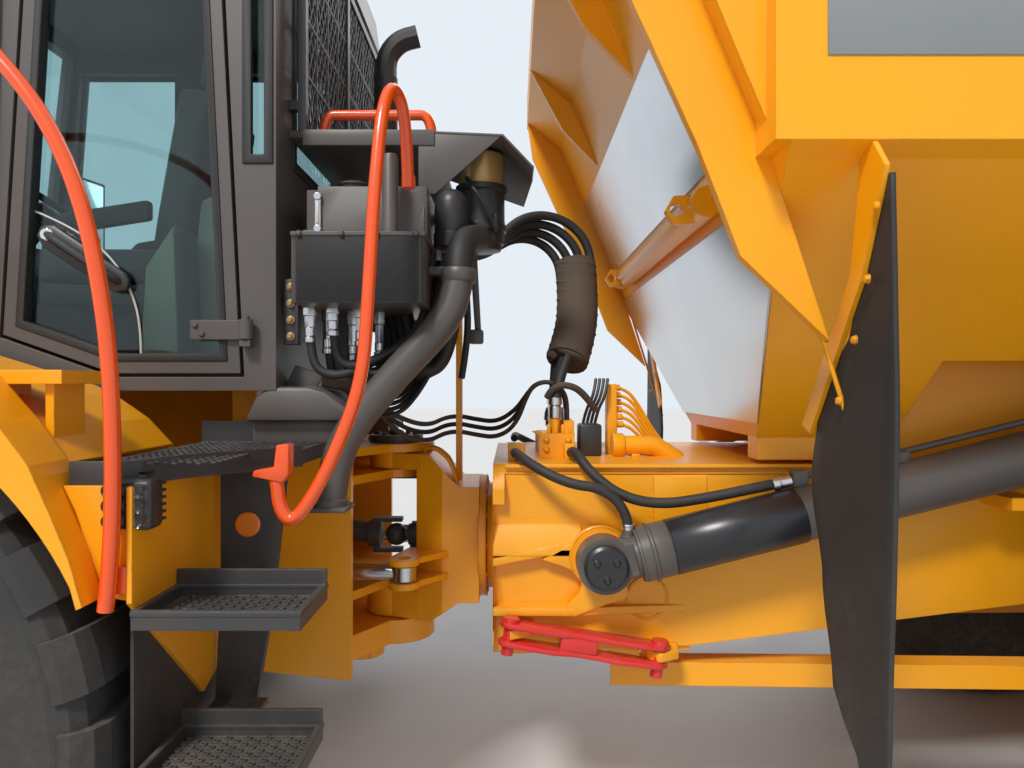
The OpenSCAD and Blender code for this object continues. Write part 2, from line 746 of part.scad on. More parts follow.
module cab_interior() {
    f = cab_floor;
    color(dark) at_pin() {
        // Driver's seat
        block([640, 1060], [-200, 200], [f, f + 320]);
        xz_plate([[600, f + 320], [1120, f + 320], [1150, f + 420], [1130, f + 470], [740, f + 450],
            [640, f + 1080], [560, f + 1160], [520, f + 1140]], -240, 240);
        xz_plate([[540, f + 1170], [640, f + 1170], [610, f + 1400], [530, f + 1400]], -130, 130);
        xz_plate([[545, f + 1150], [575, f + 1150], [575, f + 1180], [545, f + 1180]], -60, 60);
        // Dash and steering column
        xz_plate([[1480, f], [cab_end - 62, f], [cab_end - 62, f + 480], [1640, f + 560], [1500, f + 420]],
            -620, 620);
        strut([1560, 0, f + 420], [1390, 0, f + 640], 30);
        translate([1384, 0, f + 648]) rotate([0, -38, 0]) difference() {
            cylinder(r = 210, h = 30, center = true);
            difference() {
                cylinder(r = 182, h = 32, center = true);
                cube([364, 46, 40], center = true);
                cylinder(r = 60, h = 40, center = true);
            }
        }
        // Side console
        block([700, 1300], [-560, -330], [f, f + 520]);
    }
}

module hydraulic_tank() {
    color(taupe) at_pin() {
        difference() {
            block([-206, 164], [300, 860], [1830, 2190]);
            block([120, 165], [700, 861], [2060, 2191]);
        }
        // Shelf flange
        block([-216, 164], [290, 870], [2018, 2030]);
        // Foot down to the rail
        block([100, 160], [rail_y, rail_out], [fork_levels[1][1] - 7, 1830]);
        // Filler neck
        rod_z(45, 60, 500, [2190, 2230]);
    }
}

module deck() {
    color(dark) at_pin() {
        block([-216, cab_x], [-900, 620], [2377, 2400]);
        // Folded cover over the filters
        xz_plate([[-507, 2290], [-216, 2377], [-216, 2400], [-480, 2440], [-530, 2330]], 250, 620);
        // Posts between the tank and the deck
        for (y = [330, 600])
            block([-60, -20], [y, y + 30], [2190, 2377]);
        // Right-hand electrics cupboard below the deck
        block([-206, 164], [-860, -300], [1830, 2377]);
        block([100, 160], [-rail_out, -rail_y], [fork_levels[1][1] - 7, 1830]);
    }
    // Charge air pipe, from below the platform up to the filters, with its bracket
    color(taupe) at_pin() {
        bent_bar([[57, 750, 1240], [52, 750, 1340], [21, 750, 1463], [-127, 750, 1642], [-276, 750, 1790],
            [-335, 750, 1900], [-352, 740, 2020], [-380, 720, 2147]], 50, 10);
        block([-400, -206 - seat_gap], [630, 720], [1930, 1960]);
    }
}

module filters() {
    color(dark) at_pin() {
        rod_z(80, -352, 450, [2090, 2250]);
        rod_z(66, -352, 450, [2040, 2091]);
        rod_z(86, -352, 450, [2250, 2306]);
        rod_z(60, -290, 600, [2120, 2320]);
        block([-290, -206 - seat_gap], [570, 630], [2150, 2180]);
        block([-352, -206 - seat_gap], [430, 470], [2140, 2180]);
    }
}

module exhaust_guard() {
    color(dark) at_pin() {
        // Guard frame behind the rear window
        difference() {
            block([190, 215], [-620, 620], [2400, 3180]);
            block([189, 216], [-590, -20], [2430, 3150]);
            block([189, 216], [20, 590], [2430, 3150]);
        }
        for (y = [-460, -310, -160, 160, 310, 460])
            rod_z(8, 202.5, y, [2420, 3160]);
        for (z = [2590, 2770, 2950])
            rod_y(8, 202.5, [-600, 600], z);
        for (z = [2480, 3120])
            for (y = [-605, 605])
                block([214, cab_x], [y - 15, y + 15], [z - 15, z + 15]);
        // Stack
        rod_z(50, 77, -200, [2400, 2900]);
        bent_bar([[77, -200, 2890], [77, -200, 2990], [20, -200, 3060], [-60, -200, 3080]], 46, 10);
    }
}

module skirts() {
    color(black) at_pin() {
        // Rubber apron on the tank shelf
        both_sides() block([-206, 150], [860 + seat_gap, 868], [1829, 2017]);
        // Rubber flaps behind the front wheels
        both_sides() yz_plate([[1338, 1140], [1338, 560], [1180, 470], [700, 520], [620, 700], [640, 1090],
            [800, 900], [1000, 840]], 364, 372);
    }
}

module mirrors() {
    color(dark) at_pin() both_sides() {
        bent_bar([[cab_end - 60, cab_half, 2120], [cab_end - 60, cab_half + 80, 2120],
            [cab_end - 20, cab_half + 200, 2160], [cab_end + 40, cab_half + 340, 2180],
            [cab_end + 50, cab_half + 360, 2240], [cab_end + 50, cab_half + 360, 2300]], 14);
        translate([cab_end + 50, cab_half + 360, 2480]) rotate([0, 0, 12])
            cube([70, 260, 480], center = true);
    }
}

// Hoses from the cab's rear wall to the bulkhead on the hitch
hose_r = 17;
hose_rows = [-60, -20, 20, 60];
bulkhead = [-262, -238];
bulkhead_z = 2115;

function hose_front_path(y) = [
    [cab_x, 90 + 1.4 * y, 1900], [cab_x - 70, 90 + 1.4 * y, 1900], [90, 60 + 1.2 * y, 1990], [0, y, 2040],
    [-100, y, 2085], [-180, y, bulkhead_z], [bulkhead[1] + seat_gap, y, bulkhead_z]
];

module hoses_front() {
    color(black) at_pin() for (y = hose_rows) bent_bar(hose_front_path(y), hose_r);
}

// Hitch

module hitch_yoke() {
    flange = [-360, -336];
    lug_level = steer_z - steer_eye_t / 2 - steer_drift_play;
    lug_top = steer_z + steer_eye_t / 2 + steer_drift_play;
    color(yellow) at_pin() {
        difference() {
            union() {
                // Arms
                for (arm = [[upper_arm, 105], [lower_arm, 115]]) {
                    rod_z(arm[1], 0, 0, arm[0]);
                    xy_plate([[0, -arm[1]], [0, arm[1]], [-120, 170], [-120, -170]], arm[0][0], arm[0][1]);
                }
                // Web and bell
                intersection() {
                    xy_plate([[web_x, -160], [web_x, 160], [-200, 205], [-338, 205], [-338, -205], [-200, -205]],
                        lower_arm[0], upper_arm[1]);
                    xz_plate([[web_x, lower_arm[0]], [web_x, upper_arm[1]], [-150, upper_arm[1]],
                        [-260, hitch_z + 215], [-338, hitch_z + 215], [-338, hitch_z - 215], [-260, hitch_z - 215],
                        [-150, lower_arm[0]]], -210, 210);
                }
                rod_x(235, flange, 0, hitch_z);
                // Journal with its end disc
                rod_x(journal_r, [-530, -340], 0, hitch_z);
                rod_x(185, [-530, -501], 0, hitch_z);
                // Lugs for the steering rods
                both_sides() for (z = [lug_level - steer_lug_t, lug_top])
                    difference() {
                        union() {
                            rod_z(55, -steer_rear_x, steer_rear_y, [z, z + steer_lug_t]);
                            xy_plate([[-130, 160], [-75, 145], [-steer_rear_x + 54, steer_rear_y - 10],
                                [-steer_rear_x - 54, steer_rear_y - 10], [-230, 200]], z, z + steer_lug_t);
                        }
                        rod_z(steer_pin + run_fit, -steer_rear_x, steer_rear_y, [z - 1, z + steer_lug_t + 1]);
                    }
            }
            rod_x(tunnel_r, [-600, -60], 0, hitch_z);
            for (arm = [upper_arm, lower_arm])
                rod_z(steer_pin_r + run_fit, 0, 0, [arm[0] - 1, arm[1] + 1]);
        }
    }
    // Post with the hoses' bulkhead, on the bell
    color(dark) at_pin() {
        block(bulkhead, [-20, 20], [hitch_z + 214, bulkhead_z]);
        block(bulkhead, [-95, 95], [bulkhead_z - 30, bulkhead_z + 30]);
    }
}

module hitch_shaft() {
    color(dark) at_pin() {
        translate([0, 0, hitch_z]) sphere(r = 44);
        rod_x(42, [-560, -50], 0, hitch_z);
        rod_x(24, [-60, 0], 0, hitch_z);
        rod_x(52, [-110, -62], 0, hitch_z);
        rod_x(tunnel_r, [-480, -440], 0, hitch_z);
        rod_x(80, [-580, -560], 0, hitch_z);
    }
}

// Hoses from the bulkhead in an arch to the fittings on the valve block
fitting_x = -620;
fitting_z = 1475;

function hose_rear_path(y) = [
    [bulkhead[0] - seat_gap, y, bulkhead_z], [bulkhead[0] - 80, y, bulkhead_z], [-450, y + 20, 2250], [-600, y + 60, 2300],
    [-690, y * 0.6 + 120, 2200], [-705, y * 0.5 + 150, 2000], [-700, y * 0.5 + 150, 1700],
    [fitting_x, y + 150, 1570], [fitting_x, y + 150, fitting_z + seat_gap]
];

module hoses_rear() {
    color(black) at_pin() for (y = hose_rows) bent_bar(hose_rear_path(y), hose_r);
}

// Rear unit

module frame_beam() {
    xz_plate([
        [x_pin - 436, 690], [75, 720], [-1054, 860], [x_axle_2 + 300, 950], [x_tail + 860, 950],
        [x_tail + 860, beam_top], [x_pin - 436, beam_top]
    ], beam_y - beam_w, beam_y);
}

module hoist_ear() {
    p = hoist_pin_x;
    inner = hoist_y - hoist_eye_w / 2 - 6;
    face = hoist_y - hoist_barrel_r - 8;
    rod_y(100, p, [beam_y - 1, face], hoist_z);
    xz_plate([[p - 260, hoist_z - 240], [p + 180, hoist_z - 240], [p + 130, hoist_z + 60], [p + 60, hoist_z + 130],
        [p - 60, hoist_z + 130], [p - 140, hoist_z + 60]], face - 26, face);
    rod_y(76, p, [face - 1, inner], hoist_z);
    rod_y(hoist_pin_r, p, [inner - 1, hoist_y + hoist_eye_w / 2 + 8], hoist_z);
    rod_y(62, p, [hoist_y + hoist_eye_w / 2 + 7, hoist_y + hoist_eye_w / 2 + 30], hoist_z);
}

module bed_bracket() {
    v = bed_pivot_x;
    plate = [beam_y - 80, beam_y - 20];
    xz_plate([[v - 130, beam_top - 1], [v + 90, beam_top - 1], [v + 80, bed_hinge_z], [v - 80, bed_hinge_z]],
        plate[0], plate[1]);
    rod_y(80, v, plate, bed_hinge_z);
    rod_y(bed_pin_r, v, [plate[0] - 65, plate[1] + 65], bed_hinge_z);
}

module rear_frame() {
    head = x_pin - 436;
    ring_r = journal_r + 55;
    color(yellow) difference() {
        union() {
            both_sides() {
                frame_beam();
                hoist_ear();
                bed_bracket();
                // Wings between the head plate and the hoist pin
                for (z = [1150, 850])
                    xy_plate([[head + 39, beam_y - 1], [head + 39, 500], [head - 130, 503], [hoist_pin_x + 100, 505],
                        [hoist_pin_x - 120, 505], [hoist_pin_x - 300, beam_y - 1]], z, z + 30);
                // Lugs with the lock bar's pins
                for (x = lock_pins) {
                    block([x - 30, x + 30], [beam_y - 1, lock_y + 24], [lock_z[0] + 12, lock_z[1]]);
                    rod_z(lock_pin_r - seat_gap, x, lock_y, [lock_z[0] - 12, lock_z[1] + 24]);
                }
                // Bogie pivot bracket and stub
                block([x_axle_2 - bogie_spacing / 2 - 110, x_axle_2 - bogie_spacing / 2 + 110],
                    [beam_y - beam_w, beam_y], [790, 951]);
                rod_y(60, x_axle_2 - bogie_spacing / 2, [beam_y - 1, 775], 880);
                // Spring seats above the stays
                block([-1000, -900], [beam_y - 1, 620], [1200, 1240]);
            }
            // Head plate, top and bottom plates
            yz_plate([[-500, 730], [-440, 690], [440, 690], [500, 730], [500, 1250], [440, beam_top],
                [-440, beam_top], [-500, 1250]], head, head + 40);
            xy_plate([[head, -440], [head, 440], [-1054, beam_y - 10], [-1054, -beam_y + 10]], beam_top - 30, beam_top);
            xy_plate([[head, -440], [head, 440], [75, beam_y - 10], [75, -beam_y + 10]], 700, 730);
            rod_x(ring_r, [head - 60, head + 70], 0, hitch_z);
            // Cross tubes between the beams
            for (x = [x_axle_2 - bogie_spacing / 2, x_axle_3 - 500])
                rod_y(90, x, [-beam_y + 10, beam_y - 10], 1160);
            rod_y(90, -760, [-beam_y + 10, beam_y - 10], 1130);
            // Tail cross member with the tow eye
            block([x_tail + 860, x_tail + 900], [-beam_y, beam_y], [950, beam_top]);
            block([x_tail + 740, x_tail + 861], [-100, 100], [1000, 1040]);
            block([x_tail + 740, x_tail + 861], [-100, 100], [1120, 1160]);
        }
        rod_x(journal_r + run_fit, [head - 61, head + 71], 0, hitch_z);
        rod_z(32, x_tail + 790, 0, [990, 1170]);
    }
}

module lock_bar() {
    y = lock_y;
    x0 = lock_x[0];
    x1 = lock_x[1];
    color(red) {
        for (z = lock_z)
            difference() {
                xy_plate([[x0, y - 20], [x0 + 40, y + 30], [x0 + 200, y + 34], [x1 - 220, y + 20], [x1 - 60, y + 34],
                    [x1, y], [x1 - 60, y - 34], [x0 + 60, y - 34]], z, z + 12);
                for (x = lock_pins)
                    rod_z(lock_pin_r, x, y, [z - 1, z + 13]);
            }
        for (x = [x0 + 150, x1 - 150])
            rod_z(18, x, y, [lock_z[0] + 11, lock_z[1] + 1]);
    }
}

module valve_block() {
    color(yellow) at_pin() {
        block([-690, -560], [60, 240], [beam_top, 1420]);
        for (y = [70 : 40 : 230])
            block([-688, -650], [y - 10, y + 10], [1419, 1465]);
        for (y = hose_rows)
            rod_z(18, fitting_x, y + 150, [1419, fitting_z]);
        block([-690, -560], [-240, -60], [beam_top, 1400]);
    }
}

module rear_axles() {
    color(yellow) for (x = [x_axle_2, x_axle_3])
        translate([x, 0, tyre_r]) {
            axle_beam();
            both_sides() block([-85, 85], [630, 750], [0, axle_tube_r + 8]);
        }
}

module bogie_beams() {
    mid = x_axle_2 - bogie_spacing / 2;
    half = bogie_spacing / 2;
    seat = tyre_r + axle_tube_r + 8;
    color(yellow) both_sides() difference() {
        union() {
            xz_plate([
                [mid - half - 110, seat], [mid - half + 130, seat], [mid - 300, 760], [mid + 300, 760],
                [mid + half - 130, seat], [mid + half + 110, seat], [mid + half + 110, seat + 75],
                [mid + half - 200, seat + 90], [mid + 260, 1030], [mid - 260, 1030],
                [mid - half + 200, seat + 90], [mid - half - 110, seat + 75]
            ], 630, 750);
            rod_y(110, mid, [615, 765], 880);
        }
        rod_y(60 + seat_gap, mid, [600, 780], 880);
    }
    // Stays from the hitch end to the first bogie axle
    color(yellow) both_sides() {
        xy_plate([[300, 330], [340, 420], [x_axle_2 + 60, 480], [x_axle_2 + 60, 390]], 570, 650);
        block([x_axle_2 - 60, x_axle_2 + 61], [390, 480], [600, tyre_r - axle_tube_r - seat_gap]);
        block([240, 340], [340, 420], [640, 700]);
    }
}

module rear_shaft() {
    color(dark) {
        start = [x_pin - 590, 0, hitch_z];
        strut(start, [x_axle_2 + diff_r - 3, 0, tyre_r + 60], 42);
        rod_x(80, [x_pin - 606, x_pin - 588], 0, hitch_z);
        strut([x_axle_2 - diff_r - seat_gap, 0, tyre_r + 40], [x_axle_3 + diff_r + seat_gap, 0, tyre_r + 40], 40);
    }
}

// Bed

module bed_outer() {
    lip = bed_half - 60;
    intersection() {
        yz_plate([[-floor_half_w, floor_z], [floor_half_w, floor_z], [lip, lip_z - 25], [bed_half, lip_z],
            [bed_half, side_top], [-bed_half, side_top], [-bed_half, lip_z], [-lip, lip_z - 25]],
            x_tail, 105);
        xz_plate([[-150, floor_z], [70, lip_z], [105, lip_z], [105, side_top], [x_tail + 760, side_top],
            [x_tail, 2420], [x_tail, tail_floor_z], [floor_rise_x, floor_z]], -bed_half, bed_half);
    }
}

module bed_cavity() {
    t = bed_t;
    inner_z = floor_z + 40;
    intersection() {
        yz_plate([[-floor_half_w + 15, inner_z], [floor_half_w - 15, inner_z], [bed_inner, lip_z + 1],
            [bed_inner, side_top + 50], [-bed_inner, side_top + 50], [-bed_inner, lip_z + 1]],
            x_tail - 100, 700);
        xz_plate([[-138 - t, inner_z], [70 - t, lip_z], [400 - t, 2900], [x_tail - 100, 2900],
            [x_tail - 100, tail_floor_z + 40 + 100 * tail_slope], [floor_rise_x + 10, inner_z]],
            -bed_half, bed_half);
    }
}

pocket_x = [-2680, -600];
pocket_y = [floor_half_w, floor_half_w + 300];
pocket_z = 1800;

module bed_front_wall() {
    t = bed_t;
    intersection() {
        xz_plate([[-150, floor_z], [70, lip_z], [400, 2900], [590, 3060], [590, canopy_top],
            [590 - t, canopy_top], [590 - t, 3075], [400 - t, 2914], [70 - t, lip_z], [-150 - t, floor_z]],
            -bed_half + 60, bed_half - 60);
        yz_plate([[-floor_half_w, floor_z], [floor_half_w, floor_z], [bed_half - 60, lip_z - 25],
            [bed_half - 60, canopy_top], [-bed_half + 60, canopy_top], [-bed_half + 60, lip_z - 25]], -200, 700);
    }
}

module bed_lugs() {
    v = bed_pivot_x;
    for (y = [beam_y - 85 - 54, beam_y - 14])
        difference() {
            union() {
                rod_y(82, v, [y, y + 54], bed_hinge_z);
                xz_plate([[v - 78, bed_hinge_z], [v + 78, bed_hinge_z], [v + 160, 1640], [v - 160, 1740]], y, y + 54);
            }
            rod_y(bed_pin_r + run_fit, v, [y - 1, y + 55], bed_hinge_z);
        }
}

module hoist_lug() {
    a = hoist_pin_x - hoist_len * cos(hoist_slope);
    z = hoist_z + hoist_len * sin(hoist_slope);
    for (y = [hoist_y - hoist_eye_w / 2 - 10 - 36, hoist_y + hoist_eye_w / 2 + 10])
        difference() {
            union() {
                rod_y(80, a, [y, y + 36], z);
                xz_plate([[a - 80, z], [a + 80, z], [a + 120, pocket_z + 10], [a - 120, pocket_z + 10]], y, y + 36);
            }
            rod_y(hoist_pin_r + run_fit, a, [y - 1, y + 37], z);
        }
}

module bed_shell() {
    color(yellow) {
        difference() {
            union() {
                difference() {
                    bed_outer();
                    bed_cavity();
                }
                intersection() {
                    bed_outer();
                    both_sides() block([pocket_x[0] - 30, pocket_x[1] + 30], [pocket_y[0] - 30, pocket_y[1] + 30],
                        [floor_z, pocket_z + 30]);
                }
            }
            both_sides() block(pocket_x, pocket_y, [floor_z - 50, pocket_z]);
        }
        bed_front_wall();
        both_sides() {
            // Cheeks that close the canopy's sides
            xz_plate([[104, lip_z + 60], [400, 2900], [590, 3060], [590, canopy_top], [540, canopy_top],
                [-300, side_top - 1], [104, side_top - 1]], bed_inner, bed_inner + 32);
            // Ribs on the front wall
            xz_plate([[-70, 1700], [140, 1900], [240, lip_z + 30], [560, 2860], [590, 3060], [400, 2900], [70, lip_z]],
                1185, 1215);
            xz_plate([[265, 2600], [440, 2780], [590, 3060], [400, 2900]], 485, 515);
            // Sills with rubber pads above the frame
            block([bed_pivot_x + 150, -150], [beam_y - beam_w, beam_y], [beam_top + sill_pad, floor_z + 1]);
            for (x = [-3400, -2300, -1200])
                block([x, x + 200], [beam_y - beam_w, beam_y], [beam_top + seat_gap, beam_top + sill_pad + 1]);
            bed_lugs();
            hoist_lug();
        }
        // Cross tube with its lifting lugs
        rod_y(45, 112, [-820, 820], lip_z - 3);
        both_sides() difference() {
            xz_plate([[90, lip_z - 45], [190, lip_z - 50], [215, lip_z - 10], [190, lip_z + 35], [90, lip_z + 40]],
                700, 730);
            rod_y(20, 182, [699, 731], lip_z - 8);
        }
        // Strips that the mud flaps hang on
        both_sides() yz_plate([[1345, 2129], [1400, 2060], [1290, 1830], [1005, 1470], [955, 1490],
            [1235, 1850], [1289, 2104]], flap_x[1], flap_x[1] + 12);
    }
}

// Front face of the bed's front wall at a height
function wall_x(z) = z < lip_z ? -150 + 220 * (z - floor_z) / (lip_z - floor_z)
    : 70 + 330 * (z - lip_z) / (2900 - lip_z);

module bed_front_sheet() {
    color(steel) for (z = [[floor_z + 50, lip_z - 62], [lip_z + 85, 2590]])
        intersection() {
            xz_plate([[wall_x(z[0]) + seat_gap, z[0]], [wall_x(z[0]) + 6.5, z[0]], [wall_x(z[1]) + 6.5, z[1]],
                [wall_x(z[1]) + seat_gap, z[1]]], -1170, 1170);
            yz_plate([[-floor_half_w, floor_z], [floor_half_w, floor_z], [1170, 2010], [1170, 2700],
                [-1170, 2700], [-1170, 2010]], -200, 700);
        }
}

module bed_flaps() {
    color(black) both_sides()
        yz_plate([[1400, 2050], [1410, 1200], [1380, 450], [1290, 740], [1110, 870], [970, 1480],
            [1250, 1840], [1360, 2050]], flap_x[0], flap_x[1]);
}

// Door and hood

door_rim = 56;

module door_frame() {
    color(taupe) at_pin() {
        difference() {
            door_prism(door_gap, cab_half - cab_wall, cab_half);
            door_prism(door_rim, cab_half - cab_wall - 1, cab_half + 1);
        }
        hinge_leaves();
    }
}

module door_glass() {
    g = glass_t / 2;
    color(glass_tint) at_pin() door_prism(door_rim, pane_y - g, pane_y + g);
}

module hood_prism(inset, half_w) {
    xz_plate([
        [hood_x - (inset > 0 ? 1 : 0), 1300 - (inset > 0 ? 1 : 0)], [hood_x - (inset > 0 ? 1 : 0), hood_top - inset],
        [nose - 420, 2050 - inset], [nose - 130 - inset / 3, 1860 - inset], [nose - 25 - inset, 1640 - inset / 3],
        [nose - 25 - inset, 1150 - (inset > 0 ? 1 : 0)], [nose - 330, 1150 - (inset > 0 ? 1 : 0)],
        [nose - 420, 1300 - (inset > 0 ? 1 : 0)]
    ], -half_w, half_w);
}

module hood_shell() {
    color(yellow) at_pin() {
        difference() {
            intersection() {
                hood_prism(0, hood_half_w);
                yz_plate([[-hood_half_w, 1100], [hood_half_w, 1100], [hood_half_w, 1980], [hood_half_w - 160, 2340],
                    [-hood_half_w + 160, 2340], [-hood_half_w, 1980]], hood_x - 1, nose);
            }
            intersection() {
                hood_prism(hood_t, hood_half_w - hood_t);
                yz_plate([[-hood_half_w + hood_t, 1000], [hood_half_w - hood_t, 1000], [hood_half_w - hood_t, 1970],
                    [hood_half_w - 175, 2340 - hood_t], [-hood_half_w + 175, 2340 - hood_t],
                    [-hood_half_w + hood_t, 1970]], hood_x - 10, nose);
            }
            block([nose - 80, nose], [-540, 540], [1200, 1600]);
        }
        // Hinge tube with its two brackets
        rod_y(hood_pin_r, hinge_rel, [-rail_out - 60, rail_out + 60], hood_hinge_z);
        both_sides() xz_plate([[hinge_rel - 30, hood_hinge_z - 30], [nose - 50, hood_hinge_z - 50],
            [nose - 50, hood_hinge_z + 60], [hinge_rel - 30, hood_hinge_z + 30]], rail_out + 35, rail_out + 60);
    }
}

module hood_grille() {
    color(dark) at_pin() {
        difference() {
            block([nose - 50, nose - 32], [-540, 540], [1200, 1600]);
            for (z = [1225 : 52 : 1560])
                block([nose - 51, nose - 31], [-510, 510], [z, z + 30]);
        }
    }
}

// Cylinders: drawn along +X from the eye that the barrel turns on

module cylinder_barrel(eye_r, eye_w, pin, r, bore, start, gland, end, rod) {
    difference() {
        union() {
            rod_y(eye_r, 0, [-eye_w / 2, eye_w / 2], 0);
            rod_x(r * 0.8, [0, start + 20], 0, 0);
            rod_x(r, [start, end], 0, 0);
            rod_x(r + 8, [gland, end], 0, 0);
        }
        rod_y(pin + run_fit, 0, [-eye_w / 2 - r, eye_w / 2 + r], 0);
        rod_x(bore, [start + 25, gland], 0, 0);
        rod_x(rod + run_fit, [gland - 1, end + 1], 0, 0);
        for (s = [-1, 1])
            translate([0, s * (eye_w / 2 + r), 0]) cube([2 * eye_r + 20, 2 * r, 4 * r], center = true);
    }
}

module cylinder_rod(len, eye_r, eye_w, pin, r, rod_len) {
    difference() {
        union() {
            rod_y(eye_r, len, [-eye_w / 2, eye_w / 2], 0);
            rod_x(r, [len - rod_len, len - pin], 0, 0);
        }
        rod_y(pin + run_fit, len, [-eye_w, eye_w], 0);
    }
}

module hoist_place(side)
    translate([hoist_pin_x, side * hoist_y, hoist_z]) rotate([0, 180 + hoist_slope, 0]) children();

module hoist_barrel(side) {
    color(taupe) hoist_place(side)
        cylinder_barrel(88, hoist_eye_w, hoist_pin_r, hoist_barrel_r, 68, 110, 2220, 2300, hoist_rod_r);
}

module hoist_rod(side) {
    color(steel) hoist_place(side)
        cylinder_rod(hoist_len, 72, hoist_eye_w, hoist_pin_r, hoist_rod_r, 2330);
}

module steer_place(side)
    mirror([0, side < 0 ? 1 : 0, 0]) at_pin()
        translate([steer_front_x, steer_front_y, steer_z]) rotate([0, 0, steer_angle]) rotate([90, 0, 0]) children();

module steer_barrel(side) {
    color(taupe) steer_place(side)
        cylinder_barrel(46, steer_eye_t, steer_pin, steer_barrel_r, 36, 62, 600, 640, steer_rod_r);
}

module steer_rod(side) {
    color(steel) steer_place(side)
        cylinder_rod(steer_len, 44, steer_eye_t, steer_pin, steer_rod_r, 625);
}

// Hoses from the valve blocks to the ports on top of the hoist barrels
function hose_hoist_path(s) = [
    [x_pin - 600, s * (240 + seat_gap), 1370], [x_pin - 600, s * 320, 1370], [x_pin - 640, s * 460, 1390],
    [x_pin - 760, s * 590, 1340], [x_pin - 880, s * 600, 1230], [x_pin - 900, s * 600, 1166]
];

module hoses_hoist(side) {
    color(black) bent_bar(hose_hoist_path(side), 17);
}

front_frame();
steering_pins();
front_shaft();
front_axle();
front_bumper();
engine();
fenders();
ladders();
handrails();
cab_shell();
cab_roof();
cab_glass();
cab_interior();
hydraulic_tank();
deck();
filters();
exhaust_guard();
skirts();
mirrors();
hoses_front();
hitch_yoke();
hitch_shaft();
hoses_rear();
rear_frame();
lock_bar();
valve_block();
rear_axles();
bogie_beams();
rear_shaft();
hoses_hoist(1);  // hoses_hoist_l
hoses_hoist(-1);  // hoses_hoist_r
bed_shell();
bed_front_sheet();
bed_flaps();
door_frame();
door_glass();
hood_shell();
hood_grille();
wheel_place(x_axle_1, 1) tyre();  // tyre_fl
wheel_place(x_axle_1, -1) tyre();  // tyre_fr
wheel_place(x_axle_2, 1) tyre();  // tyre_ml
wheel_place(x_axle_2, -1) tyre();  // tyre_mr
wheel_place(x_axle_3, 1) tyre();  // tyre_rl
wheel_place(x_axle_3, -1) tyre();  // tyre_rr
wheel_place(x_axle_1, 1) rim();  // rim_fl
wheel_place(x_axle_1, -1) rim();  // rim_fr
wheel_place(x_axle_2, 1) rim();  // rim_ml
wheel_place(x_axle_2, -1) rim();  // rim_mr
wheel_place(x_axle_3, 1) rim();  // rim_rl
wheel_place(x_axle_3, -1) rim();  // rim_rr
hoist_barrel(1);  // hoist_barrel_l
hoist_barrel(-1);  // hoist_barrel_r
hoist_rod(1);  // hoist_rod_l
hoist_rod(-1);  // hoist_rod_r
steer_barrel(1);  // steer_barrel_l
steer_barrel(-1);  // steer_barrel_r
steer_rod(1);  // steer_rod_l
steer_rod(-1);  // steer_rod_r
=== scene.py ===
"""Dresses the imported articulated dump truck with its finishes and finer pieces.

Metres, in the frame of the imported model: +X forward, +Y the machine's left, +Z up.
"""
import json
from math import cos, dist, exp, pi, radians, sin

import bmesh
import bpy
from mathutils import Matrix, Vector


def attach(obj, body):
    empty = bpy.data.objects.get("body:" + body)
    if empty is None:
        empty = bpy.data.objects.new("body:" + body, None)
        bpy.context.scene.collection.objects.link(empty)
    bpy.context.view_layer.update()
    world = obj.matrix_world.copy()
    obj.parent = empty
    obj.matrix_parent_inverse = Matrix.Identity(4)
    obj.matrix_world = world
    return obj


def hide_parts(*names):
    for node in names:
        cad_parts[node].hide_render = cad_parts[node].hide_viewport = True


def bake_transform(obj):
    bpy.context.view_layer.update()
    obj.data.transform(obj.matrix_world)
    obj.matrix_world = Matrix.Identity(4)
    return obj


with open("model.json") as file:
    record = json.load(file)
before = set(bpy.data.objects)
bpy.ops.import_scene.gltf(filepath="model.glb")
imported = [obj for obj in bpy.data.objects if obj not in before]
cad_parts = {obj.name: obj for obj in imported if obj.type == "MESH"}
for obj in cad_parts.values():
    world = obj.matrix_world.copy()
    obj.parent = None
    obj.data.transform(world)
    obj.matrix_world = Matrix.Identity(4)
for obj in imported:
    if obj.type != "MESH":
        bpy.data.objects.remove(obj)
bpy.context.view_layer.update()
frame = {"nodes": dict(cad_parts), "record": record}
nodes = frame["nodes"]

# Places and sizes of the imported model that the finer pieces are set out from
PIN = 1.136  # the steering pin, along X
HALF_TRACK = 1.129
TYRE_R = 0.807
AXLES = {"f": 2.346, "m": -1.829, "r": -3.499}
BEAM_TOP = 1.329
CAB_FLOOR = 1.64
TANK_FOOT = 1.829
DECK_UNDER, DECK_TOP = 2.377, 2.4


# Node trees

class Wiring:
    """Adds nodes to a tree, with their settings and what they are fed from."""

    def __init__(self, tree):
        self.tree = tree

    def add(self, kind, inputs=(), **settings):
        node = self.tree.nodes.new(kind)
        for name, value in settings.items():
            setattr(node, name, value)
        for name, value in dict(inputs).items():
            if isinstance(value, bpy.types.NodeSocket):
                self.tree.links.new(value, node.inputs[name])
            else:
                node.inputs[name].default_value = value
        return node

    def math(self, how, a, b, clamp=False):
        return self.add("ShaderNodeMath", {0: a, 1: b}, operation=how, use_clamp=clamp).outputs[0]

    def spread(self, value, low, high, to_low=0.0, to_high=1.0):
        node = self.add("ShaderNodeMapRange", {"Value": value, "From Min": low, "From Max": high,
            "To Min": to_low, "To Max": to_high})
        return node.outputs[0]

    def noise(self, scale, detail, rough, vector):
        inputs = {"Scale": scale, "Detail": detail, "Roughness": rough, "Vector": vector}
        return self.add("ShaderNodeTexNoise", inputs).outputs["Fac"]

    def blend(self, share, a, b, how="MIX"):
        return self.add("ShaderNodeMix", {0: share, 6: a, 7: b}, data_type="RGBA",
            blend_type=how).outputs[2]


